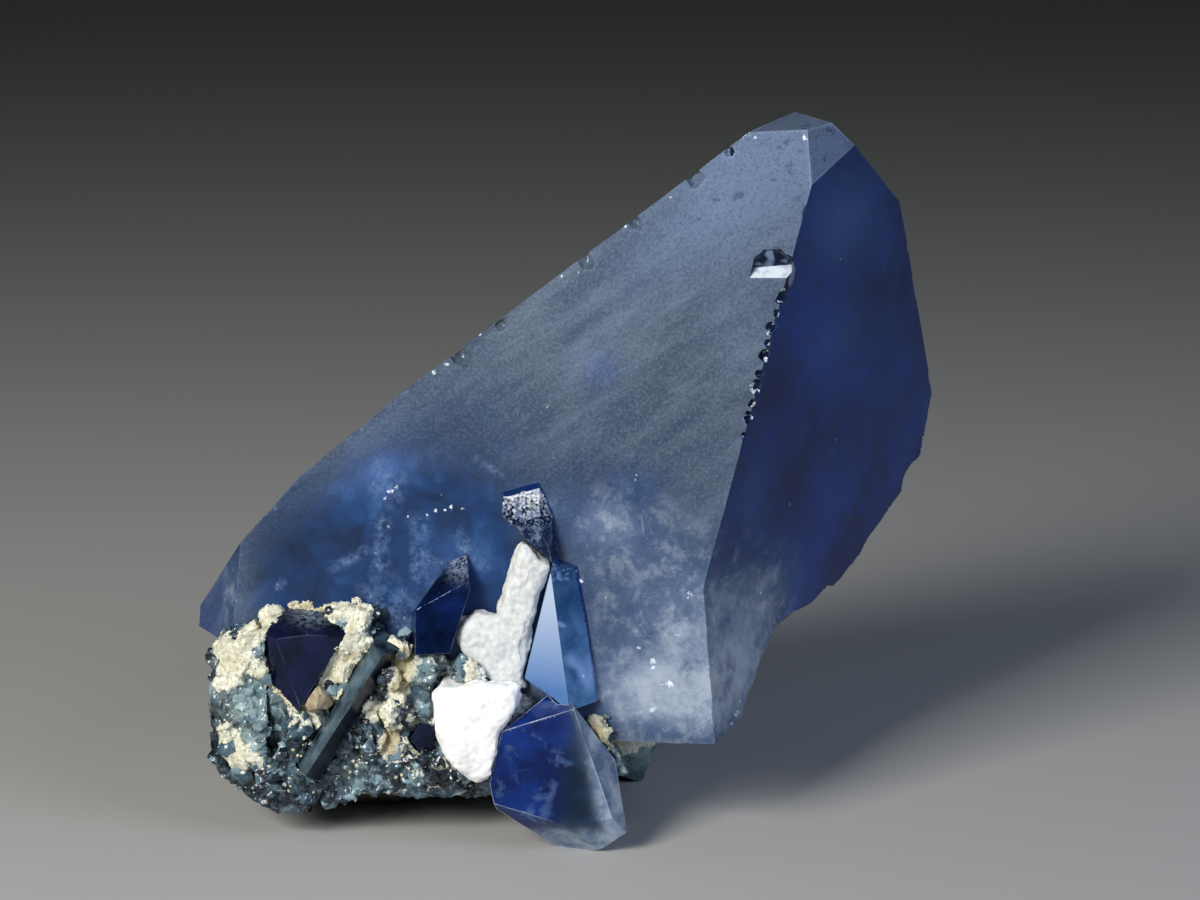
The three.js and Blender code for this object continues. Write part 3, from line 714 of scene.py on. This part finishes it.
def zones(points, spots, start=0.0):
    """The sum of soft spots on top of `start`, kept between 0 and 1."""
    total = sum(strength * spot(points, x, z, wide, high, turn) for x, z, wide, high, turn, strength in spots)
    return np.clip(start + total, 0, 1)


def bent(points, grain, reach, seed):
    """The points moved by up to `reach` in smooth noise, so that what is measured from them gets a wavy
    outline."""
    return points + reach * np.stack([rough_noise(points, grain, seed + k, 3) for k in range(3)], -1)


def smoothed(points, triangles, free, rounds, along=None):
    """Moves each free point 0.6 of the way to the mean of its neighbours, round by round, so that coarse
    facets become bowls. With a direction `along`, points move only that way."""
    unique, _ = sides(triangles)
    count = np.bincount(unique.ravel(), minlength=len(points))
    for _ in range(rounds):
        total = np.stack(
            [
                np.bincount(unique[:, 0], points[unique[:, 1], k], len(points))
                + np.bincount(unique[:, 1], points[unique[:, 0], k], len(points))
                for k in range(3)
            ],
            -1,
        )
        move = (total / count[:, None] - points) * free[:, None] * 0.6
        if along is not None:
            move = (move @ along)[:, None] * along
        points = points + move
    return points


def shell_break(points, grain, seed):
    """Shell-shaped breaks, as in glass: a bowl round each scattered centre with a sharp ridge between bowls,
    and fine ripples ringed round the centre."""
    nearest, _, number, _ = cell_noise(bent(points, grain, 0.25 * grain, seed), grain, seed + 5)
    rings = np.sin(nearest * (26 + 10 * number)) * np.clip(nearest * 2, 0, 1)
    return nearest**2 + 0.035 * rings


def worn_crystal(
    node, least_area, break_depth, longest, at_breaks, at_edges, wear, break_grain, seed, nearby=None
):
    """A node's crystal with life in it: its edges are chipped inwards in places by up to `wear`, and its
    broken surfaces become bowls `break_grain` wide and break_depth(points) deep. Sides are at most `longest`,
    shorter at breaks and edges, and nearby(points) where that is given."""
    points, triangles = node_mesh(node)
    group = flat_faces(points, triangles, least_area)
    for times in (8, 4, 2):
        points, triangles, group = even(*finer(points, triangles, group, longest * times))
    points, triangles, group = finer(points, triangles, group, longest, at_breaks, at_edges, nearby)
    points, triangles, group = even(points, triangles, group)
    on_edge = np.zeros(len(points))
    on_edge[edge_points(triangles, group)] = 1
    broken = share_of(points, triangles, group == -1)
    points = smoothed(points, triangles, (broken > 0.99) * 1.0, 5)
    points = smoothed(points, triangles, ((broken > 0.99) & (break_depth(points) > 0.1)) * 1.0, 40)
    normals = point_normals(points, triangles)
    chip = np.clip(rough_noise(points, 0.7, seed + 9, 3) - 0.25, 0, 1) * wear
    uneven = 0.2 * rough_noise(points, break_grain * 0.3, seed + 3, 3)
    bowls = 1 - shell_break(points, break_grain, seed) + uneven
    inward = broken * break_depth(points) * bowls + on_edge * (1 - broken) * chip
    points = points - normals * inward[:, None]
    # pale marks on unbroken edges: partly wear, partly a painted highlight where a rounded edge would catch
    # the light
    worn = on_edge * (1 - broken) * np.clip(0.45 + 0.9 * rough_noise(points, 0.9, seed + 4, 3), 0, 1)
    return points, triangles, group, broken, worn


def sparks(points):
    """How strongly the painted glints act at each point: their strength in the middle, 0 at 1.35 times the
    radius."""
    total = np.zeros(len(points))
    for x, z, radius, strength in SPARKS:
        away = np.hypot(points[:, 0] - x, points[:, 2] - z)
        total = np.maximum(total, strength * np.clip(1 - away / (1.35 * radius), 0, 1))
    return total * (points[:, 1] < 0.5)


def big_side(points):
    """The longest side allowed on the big crystal's front: short round the bright points and in the veils."""
    away = np.full(len(points), 9.0)
    for x, z, _, _ in SPARKS:
        away = np.minimum(away, np.hypot(points[:, 0] - x, points[:, 2] - z))
    for start, end, radius in VEILS:
        away = np.minimum(away, 0.25 + radius * 1.5 * (1 - streak(points, start, end, radius * 2)))
    return np.where(points[:, 1] < 0.5, 0.045 + 0.45 * away, 9.0)


def big_crystal():
    """The big crystal: flat faces, chipped edges, and a shell-like broken right rim, back and foot. Each
    point and each face carries what its material reads: how etched, clear, cloudy or bright it is."""

    def least_area(middles):
        return np.where(middles[:, 1] > BROKEN_BACK, 6.0, 0.25)

    def break_depth(points):
        rim = (points[:, 1] > BROKEN_BACK) | ((points[:, 0] > 4.2) & (points[:, 2] < 10))
        return np.where(rim, 0.13 + 0.2 * soft_step(points[:, 1], 0.5, 3), 0.03)

    points, triangles, group, broken, worn = worn_crystal(
        "main_crystal", least_area, break_depth, longest=0.45, at_breaks=0.25, at_edges=0.12, wear=0.08,
        break_grain=1.1, seed=5, nearby=big_side,
    )
    normals = facing(points, triangles)[0]
    middle = points[triangles].mean(1)
    proud = middle @ FRONT_NORMAL - FRONT_REACH
    flat = group >= 0
    etched = looks_along(points, triangles, group, FRONT_NORMAL) & (proud < 0.2)
    stands_out = (proud > 0.03) & ~etched
    in_wedge = stands_out & (middle[:, 2] <= CAP_LOW)
    unseen = flat & ~stands_out & ((normals[:, 1] > 0) | (normals[:, 0] < -0.3))
    numbered = np.where(flat, group, group.max() + 1)
    low_end = np.full(numbered.max() + 1, 99.0)
    np.minimum.at(low_end, numbered, middle[:, 2])
    tip = flat & (low_end[numbered] > TIP_LOW) & ((normals[:, 2] > 0.5) | (normals @ TOP_FACET_NORMAL > 0.9))
    notch = (spot(middle, *NOTCH, 0.6, 0.6) > 0.3) & (middle[:, 1] < -3) & ~etched & (proud < -0.03)
    sill = notch & (normals[:, 2] > 0.3)
    chips = ~flat & (proud > -0.5) & (middle[:, 2] > 9.5)
    front = soft_step(points[:, 1], -1.0, -1.5)
    wavy = bent(points, 0.7, 0.22, 81)
    values = {
        "light": zones(points, LIGHT, 0.5),
        "haze": zones(points, CLOUDS) * front,
        "clear": zones(points, CLEAR_BLUE) * front * soft_step(points[:, 0], -8.9, 4),
        "veil": np.max([streak(wavy, *ends, radius * 1.5) for *ends, radius in VEILS], 0) * front,
        "glow": zones(points, GLOW) * front,
        "sparkle": sparks(points),
        "broken": broken,
        # the edge marks are strongest along the top edges, where they paint a thin highlight line
        "worn": worn * (0.3 + 0.7 * np.clip((points[:, 2] - 15.5) / 1.5, 0, 1)),
    }
    face_values = {
        "etched": np.maximum(etched | tip | (chips & (middle[:, 0] < CHIPPED_EDGE)), 0.65 * unseen),
        "dull": unseen,
        "chip": chips & (middle[:, 0] > CHIPPED_EDGE),
        # painted shade on the notch's walls and roof
        "vault": notch & ~sill,
        # the cap, and also the notch's sill, where the cap's colour is a painted highlight
        "cap": (stands_out & (middle[:, 2] > CAP_LOW)) | sill,
        "wedge": in_wedge & (normals[:, 0] >= 0),
        "strip": in_wedge & (normals[:, 0] < 0),
    }
    make_piece(
        "benitoite_crystal", points, triangles, "main_crystal", "blue_crystal", benitoite_big(), values,
        face_values,
    )


# The small crystals


def any_facet(middles):
    """The least area of a flat face on the small crystals, in mm2, wherever it lies."""
    return np.full(len(middles), 0.02)


def foot_crystal():
    """The small crystal at the foot: bright flat faces, softly chipped edges painted pale for wear and as a
    highlight, deep blue on its left and clear beyond, with a pale rim along its right edge and foot."""
    points, triangles, _, _, worn = worn_crystal(
        "small_crystal", any_facet, lambda p: 0.04, longest=0.12, at_breaks=0.12, at_edges=0.05, wear=0.03,
        break_grain=0.5, seed=15,
    )
    wavy = bent(points, 0.6, 0.06, 87)
    x, z = wavy[:, 0], wavy[:, 2]
    right = soft_step(x - 0.2 * (4.2 - z), 0.17, 16)
    low = soft_step(z + 0.35 * np.clip(-x - 0.2, 0, 2), 0.75, -9)
    values = {"zone": soft_step(x - 0.1 * (z - 2), -0.2, 7), "worn": worn, "rim": np.maximum(right, low)}
    make_piece(
        "benitoite_foot_crystal", points, triangles, "small_crystal", "blue_crystal", benitoite_foot(), values
    )


def dark_crystals():
    """The three small dark crystals, each with its own tone, and the purple grain."""
    # each node's dark tone, lighter tone, pale tone of its edges, dust and painted highlight, roughness and
    # share of light let through
    looks = {
        "triangular_crystal": ("#070c16", "#16183a", "#8ea2ae", 0.1, 0.1),
        "blade_crystal": ("#0a131c", "#566c78", "#a0aca8", 0.3, 0.0),
        "boot_crystal": ("#040b1e", "#0c2050", "#8d9db2", 0.12, 0.1),
        "purple_grain": ("#0f1222", "#232844", "#56607c", 0.15, 0.2),
    }
    for seed, (node, look) in enumerate(looks.items(), start=31):
        points, triangles, _, _, worn = worn_crystal(
            node, any_facet, lambda p: 0.03, longest=0.1, at_breaks=0.1, at_edges=0.05, wear=0.02,
            break_grain=0.3, seed=seed,
        )
        # painted highlights: on the triangular crystal's hood and on the boot crystal's glinting end
        hood, toe = spot(points, -6.97, 6.3, 0.5, 0.16), spot(points, -2.95, 7.8, 0.4, 0.3)
        make_piece(
            node + "_skin", points, triangles, node, "dark_crystal", dark_crystal(node + "_finish", *look),
            {"worn": worn, "lit": 0.9 * np.maximum(hood, toe)},
            # painted shade: faces that look towards +X, away from the key light
            {"sunless": facing(points, triangles)[0][:, 0] > 0.35},
        )


# The natrolite


def fine_mesh(node, longest, nearby=None):
    """A node's mesh with no side over `longest`, nor over nearby(its middle)."""
    points, triangles = node_mesh(node)
    return finer(points, triangles, np.zeros(len(triangles), int), longest, nearby=nearby)[:2]


def raised(points, triangles, height):
    """The mesh with each point moved outwards by its height, along its normal."""
    return points + point_normals(points, triangles) * height[:, None], triangles


def natrolite_pieces():
    """The white vein and lump: sugary grains on a gently uneven body, smoothed along the way the front
    looks."""
    vein = natrolite("natrolite_sugary", "#b4baba", "#d9dddd", 0.5)
    lump = natrolite("natrolite_bright", "#e6e8e8", "#f8f9f9", 0.1)
    for node, material, rounds in (("natrolite_vein", vein, 2), ("natrolite_lump", lump, 4)):
        points, triangles = fine_mesh(node, 0.09)
        points = smoothed(points, triangles, np.ones(len(points)), rounds)
        points = smoothed(points, triangles, np.ones(len(points)), 40, FRONT_NORMAL)
        sugar = 0.6 - cell_noise(points, 0.16, 51)[0]
        points, _ = raised(points, triangles, 0.02 * rough_noise(points, 0.6, 50, 3) + 0.045 * sugar)
        dusty = np.clip(rough_noise(points, 0.7, 53, 4) - 0.55, 0, 1)
        make_piece(
            node + "_grains", points, triangles, node, "white_stone", material, {"dusty": dusty}, crease=60
        )


# The rock. Its crust lies in streaks on the front, as start, end, radius and strength; ochre stains, white
# seams and pale grains are soft spots as on the big crystal.

CRUST_STREAKS = [
    ((-9.0, 5.5), (-8.1, 6.4), 0.26, 1.0), ((-7.7, 6.55), (-6.0, 6.6), 0.2, 0.9),
    ((-5.75, 6.75), (-5.5, 6.55), 0.3, 1.0), ((-5.95, 6.4), (-5.9, 5.8), 0.25, 0.9),
    ((-5.95, 5.75), (-6.3, 5.1), 0.42, 1.0), ((-6.25, 5.1), (-6.5, 4.3), 0.42, 1.0),
    ((-9.5, 5.4), (-9.15, 5.0), 0.35, 0.9), ((-9.0, 5.3), (-8.1, 4.6), 0.2, 0.8),
    ((-8.1, 4.6), (-7.4, 3.7), 0.25, 0.8), ((-7.4, 3.7), (-6.8, 3.4), 0.2, 0.7),
    ((-9.45, 4.5), (-9.0, 4.7), 0.2, 1.0), ((-9.35, 3.0), (-9.1, 2.3), 0.3, 0.9),
    ((-9.0, 2.5), (-8.6, 2.4), 0.2, 0.8), ((-5.5, 5.7), (-4.5, 5.45), 0.2, 0.9),
    ((-4.5, 5.4), (-4.4, 4.9), 0.28, 0.9), ((-4.4, 4.9), (-4.75, 4.3), 0.25, 0.9),
    ((-5.5, 3.9), (-4.9, 3.8), 0.22, 0.8), ((-4.9, 3.3), (-4.95, 2.7), 0.18, 0.8),
    ((-3.9, 5.6), (-3.5, 5.3), 0.2, 0.8), ((-2.6, 5.3), (-2.5, 4.8), 0.12, 0.8),
    ((-1.8, 3.4), (-0.7, 4.1), 0.25, 1.0), ((0.5, 3.4), (0.8, 3.0), 0.4, 1.0),
]
OCHRE = [
    (0.6, 3.2, 0.6, 0.6, 0, 1.0), (-4.6, 5.3, 0.4, 0.3, 0, 0.9), (-4.6, 4.6, 0.3, 0.4, 0, 0.8),
    (-4.9, 2.9, 0.3, 0.4, 0, 0.8), (-8.0, 4.4, 0.6, 0.4, -45, 0.5), (-9.2, 5.2, 0.4, 0.4, 0, 0.4),
]
WHITE_SEAMS = [
    (-1.9, 4.8, 0.55, 0.5, 0, 1.0), (-1.2, 3.9, 0.7, 0.4, 40, 1.0),
]
PALE_GRAINS = [
    (-8.7, 4.0, 0.8, 1.0, 0, 0.9), (-4.0, 5.0, 0.6, 0.4, 0, 0.9), (-8.6, 2.8, 0.5, 0.4, 0, 0.4),
    (-6.2, 2.1, 0.8, 0.4, 0, 0.3),
]
DARK_EDGE = (-9.07, 5.3, 0.9)  # a place on the dark crystal's sloping lower edge, and its fall per mm of x


def rock_cells(points):
    """The rock's broken grains, half a millimetre wide, as cell noise."""
    return cell_noise(points, 0.5, 61)


def rock_front(points):
    """1 on the rock's front, 0 on its back, passing softly 3.2 mm in front of the frame's middle."""
    return soft_step(points[:, 1], -3.2, -3)


def laid_crust(points):
    """How strongly the named streaks of crust act at each point, with a ragged outline."""
    wavy = bent(points, 0.4, 0.16, 85)
    laid = np.zeros(len(points))
    for start, end, radius, strength in CRUST_STREAKS:
        laid = np.maximum(laid, strength * streak(wavy, start, end, radius * 1.6))
    return laid


def crust_of(points):
    """How much crust lies at each point: the named streaks, some of the grains' seams, and patches on the
    back."""
    nearest, second, _, _ = rock_cells(points)
    seam = 1 - np.clip((second - nearest) / 0.25, 0, 1)
    patchy = np.clip(0.4 + 0.8 * rough_noise(points, 1.6, 65, 3), 0, 1)
    front = rock_front(points)
    white = zones(points, WHITE_SEAMS)
    patches = np.clip(rough_noise(points, 2.0, 66, 3) * 3 - 0.9, 0, 1) * (1 - front)
    return np.clip(laid_crust(points) * front * 1.4 + seam * patchy * 0.55 + white * front + patches, 0, 1)


def rock_relief(points):
    """The height of the rock's skin: each glassy grain a small flat that leans its own way, sunk seams
    between, and low bumps where crust lies."""
    nearest, second, _, lean = rock_cells(points)
    small = cell_noise(points, 0.22, 63)[3]
    bumps = 0.55 - cell_noise(points, 0.17, 67)[0]
    seam = np.clip((second - nearest) / 0.15, 0, 1)
    crust = np.clip(crust_of(points) * 2 - 0.6, 0, 1)
    glassy = 0.34 * lean * seam + 0.12 * small - 0.06
    return (1 - crust) * glassy + crust * (0.09 * bumps + 0.02) + 0.05 * rough_noise(points, 0.5, 60, 3)


def rock_values(points, crust, tint):
    """What the rock's material reads at each point: crust, tint, shade at the foot, and stains."""
    front = rock_front(points)
    return {
        "crust": crust,
        "tint": tint,
        "shade": np.clip((1.3 - points[:, 2]) / 1.2, 0, 1) * np.where(points[:, 0] > 0.8, 0.2, 0.8),
        # pale grains, and right of x = 1 painted light that lifts the big crystal's shadow off the shard there
        "pale": np.maximum(zones(points, PALE_GRAINS) * front, 0.8 * soft_step(points[:, 0], 1, 6)),
        "ochre": zones(points, OCHRE),
        "white": zones(points, WHITE_SEAMS) * front,
    }


def scatter(points, triangles, count, seed):
    """Steady random places on a mesh, spread evenly by area, with the outward direction at each."""
    rng = np.random.default_rng(seed)
    normals, areas = facing(points, triangles)
    chosen = rng.choice(len(triangles), count, p=areas / areas.sum())
    u, v = rng.random((2, count))
    u, v = np.where(u + v > 1, 1 - u, u)[:, None], np.where(u + v > 1, 1 - v, v)[:, None]
    a, b, c = (points[triangles[chosen, k]] for k in range(3))
    return a + u * (b - a) + v * (c - a), normals[chosen]


def blocks(places, outward, radii, sink, seed):
    """A broken grain at each place: a twenty-sided block with every corner pushed in or out, stretched,
    turned its own way, and sunk by `sink` times its radius."""
    work = bmesh.new()
    bmesh.ops.create_icosphere(work, subdivisions=1, radius=1)
    corners = np.array([v.co[:] for v in work.verts])
    faces = np.array([[v.index for v in f.verts] for f in work.faces])
    work.free()
    rng = np.random.default_rng(seed)
    count = len(places)
    turn = np.linalg.qr(rng.normal(size=(count, 3, 3)))[0]
    turn[:, :, 0] *= np.sign(np.linalg.det(turn))[:, None]
    shape = corners * rng.uniform(0.72, 1.15, (count, len(corners), 1))
    shape = shape * rng.uniform(0.65, 1.25, (count, 1, 3))
    middle = places - outward * (sink * radii)[:, None]
    points = middle[:, None] + np.einsum("nij,nkj->nki", turn, shape) * radii[:, None, None]
    triangles = faces + len(corners) * np.arange(count)[:, None, None]
    return points.reshape(-1, 3), triangles.reshape(-1, 3)


def lapping_crust():
    """Places where the streaks of crust lap on to the dark crystal and on to the big one behind the rock."""
    tries = (("triangular_crystal", 6000, 101, 0.0), ("main_crystal", 500000, 102, 0.25))
    for node, count, seed, lift in tries:
        places, outward = scatter(*node_mesh(node), count, seed)
        left = (places[:, 0] < -5.3) & (places[:, 1] < -3) & (places[:, 2] > 5.4)
        lapped = (laid_crust(places + [0, 0, lift]) > 0.6) & left
        yield places[lapped], outward[lapped]


def loose_grains(
    name, rock_mesh, material, rng, count, radii, sink, on_crust, off_crust, low_share, pocket, seed
):
    """Small grains that stand on the rock's front, each kept with a chance that goes by the crust under it,
    and more in the pocket below the dark crystal: `pocket` gives how many are tried and how far below the
    crystal's sloping edge they start and end. Crust granules also lap on to the crystals."""
    crusty = on_crust > off_crust
    places, outward = scatter(*rock_mesh, count, seed)
    chance = np.where(crust_of(places) > 0.5, on_crust, off_crust)
    chance = chance * np.where((places[:, 2] > 1.4) & (places[:, 0] > -9.6), 1, low_share)
    kept = (places[:, 1] < -1.5) & (rng.random(count) < chance)
    tried, start, end = pocket
    more, more_outward = scatter(*node_mesh("triangular_crystal"), tried, seed + 5)
    x, z, fall = DARK_EDGE
    below = (z - fall * (more[:, 0] - x) - more[:, 2]) / math.hypot(1, fall)
    band = (below > start) & (below < end) & (more_outward[:, 1] < -0.7)
    laid = [(places[kept], outward[kept]), (more[band], more_outward[band])]
    if crusty:
        laid += lapping_crust()
    places, outward = (np.vstack(part) for part in zip(*laid))
    least, most = radii
    radii = least + (most - least) * rng.random(len(places)) ** 3
    radii[kept.sum() :] *= 1.3
    points, triangles = blocks(places, outward, radii, sink, seed + 9)
    tint = np.repeat(rng.random(len(places)), len(points) // len(places))
    values = rock_values(points, np.full(len(points), float(crusty)), tint)
    make_piece(name, points, triangles, None, "grey_stone", material, values, crease=50)


def white_granules(rock_mesh):
    """White sugary granules heaped on the rock in the corner between the vein's left lobe and the lump."""
    material = natrolite("natrolite_granules", "#b4baba", "#d9dddd", 0.5)
    places, outward = scatter(*rock_mesh, 60000, 97)
    heap = zones(bent(places, 0.4, 0.12, 98), WHITE_SEAMS)
    kept = (heap > 0.35) & (places[:, 1] < -2.5)
    places, outward = places[kept], outward[kept]
    radii = 0.05 + 0.1 * np.random.default_rng(99).random(len(places)) * heap[kept]
    points, triangles = blocks(places, outward, radii, -0.2, 100)
    values = {"dusty": np.zeros(len(points))}
    make_piece("natrolite_granules", points, triangles, None, "white_stone", material, values, crease=60)


def rock():
    """The scrap of blueschist: broken glassy grains of half a millimetre with a crust of finer grains in the
    seams, and small loose-looking grains on its front."""
    material = blueschist()
    points, triangles = fine_mesh("matrix", 0.3, lambda p: np.where(p[:, 1] < -2.5, 0.13, 0.3))
    mesh = raised(points, triangles, rock_relief(points))
    values = rock_values(mesh[0], crust_of(mesh[0]), rock_cells(mesh[0])[2])
    make_piece("blueschist_scrap", *mesh, "matrix", "grey_stone", material, values, crease=38)
    white_granules(mesh)
    rng = np.random.default_rng(91)
    loose_grains(
        "crust_granules", mesh, material, rng, count=26000, radii=(0.025, 0.07), sink=0.2, on_crust=0.85,
        off_crust=0.12, low_share=0.25, pocket=(14400, 0.0, 0.3), seed=92,
    )
    loose_grains(
        "glassy_grains", mesh, material, rng, count=3600, radii=(0.13, 0.32), sink=0.55, on_crust=0.05,
        off_crust=0.42, low_share=0.0, pocket=(2800, 0.15, 99.0), seed=93,
    )


def beige_grain():
    """The waxy beige grain below the triangular crystal."""
    points, triangles = fine_mesh("beige_grain", 0.08)
    mesh = raised(points, triangles, 0.03 * rough_noise(points, 0.3, 70, 3) - 0.02)
    make_piece("beige_grain_skin", *mesh, "beige_grain", "beige_stone", waxy_grain(), crease=50)


# The room: a plain pale floor, a soft box above the front, a dim fill and the camera


def soft_box(name, place, target, size, watts, colour):
    """A square area light `size` millimetres wide at a place, turned to face its target."""
    light = bpy.data.lights.new(name, "AREA")
    light.shape = "SQUARE"
    light.size = size * MM
    light.energy = watts
    light.color = linear(colour)[:3]
    lamp = bpy.data.objects.new(name, light)
    lamp.location = Vector(place) * MM
    lamp.rotation_euler = (Vector(target) - Vector(place)).to_track_quat("-Z", "Y").to_euler()
    bpy.context.scene.collection.objects.link(lamp)


def room():
    """A pale floor much larger than the specimen, lit by a soft box close to it, so that it darkens
    behind."""
    half = 1.5  # metres
    corners = [(-half, -half, 0), (half, -half, 0), (half, half, 0), (-half, half, 0)]
    mesh = bpy.data.meshes.new("floor")
    mesh.from_pydata(corners, [], [(0, 1, 2, 3)])
    material, tree, _, _ = new_material("floor_matt_pale")
    add(tree, "OutputMaterial", Surface=add(tree, "BsdfPrincipled", Base_Color="#aaaba9", Roughness=0.9))
    mesh.materials.append(material)
    floor = bpy.data.objects.new("floor", mesh)
    bpy.context.scene.collection.objects.link(floor)
    floor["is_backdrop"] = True

    soft_box("key", (-66, -94, 66), (0, -3, 9), 50, 0.21, "#fffaf4")
    soft_box("fill", (76, -60, 62), (0, 0, 10), 60, 0.05, "#d4e2ff")

    world = bpy.data.worlds.new("dim_room")
    world.use_nodes = True
    backdrop = world.node_tree.nodes["Background"]
    backdrop.inputs["Color"].default_value = linear("#8a9296")
    backdrop.inputs["Strength"].default_value = 0.08
    bpy.context.scene.world = world


def camera():
    """The photograph's view: from the front, 12 degrees above level, through a long lens."""
    data = bpy.data.cameras.new("camera")
    data.lens = 100
    data.sensor_width = 36
    data.clip_start = 1 * MM
    data.clip_end = 10
    eye = bpy.data.objects.new("camera", data)
    eye.location = Vector((0.835, -92.37, 29.69)) * MM
    eye.rotation_euler = Euler((math.radians(90 - 12), 0, 0))
    bpy.context.scene.collection.objects.link(eye)
    bpy.context.scene.camera = eye


room()
camera()
big_crystal()
foot_crystal()
dark_crystals()
natrolite_pieces()
beige_grain()
rock()
bpy.context.scene.view_settings.view_transform = "Standard"

boxes = {"cad": cad_box, "visual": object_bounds()}
{name: [list(low), list(high)] for name, (low, high) in boxes.items()}
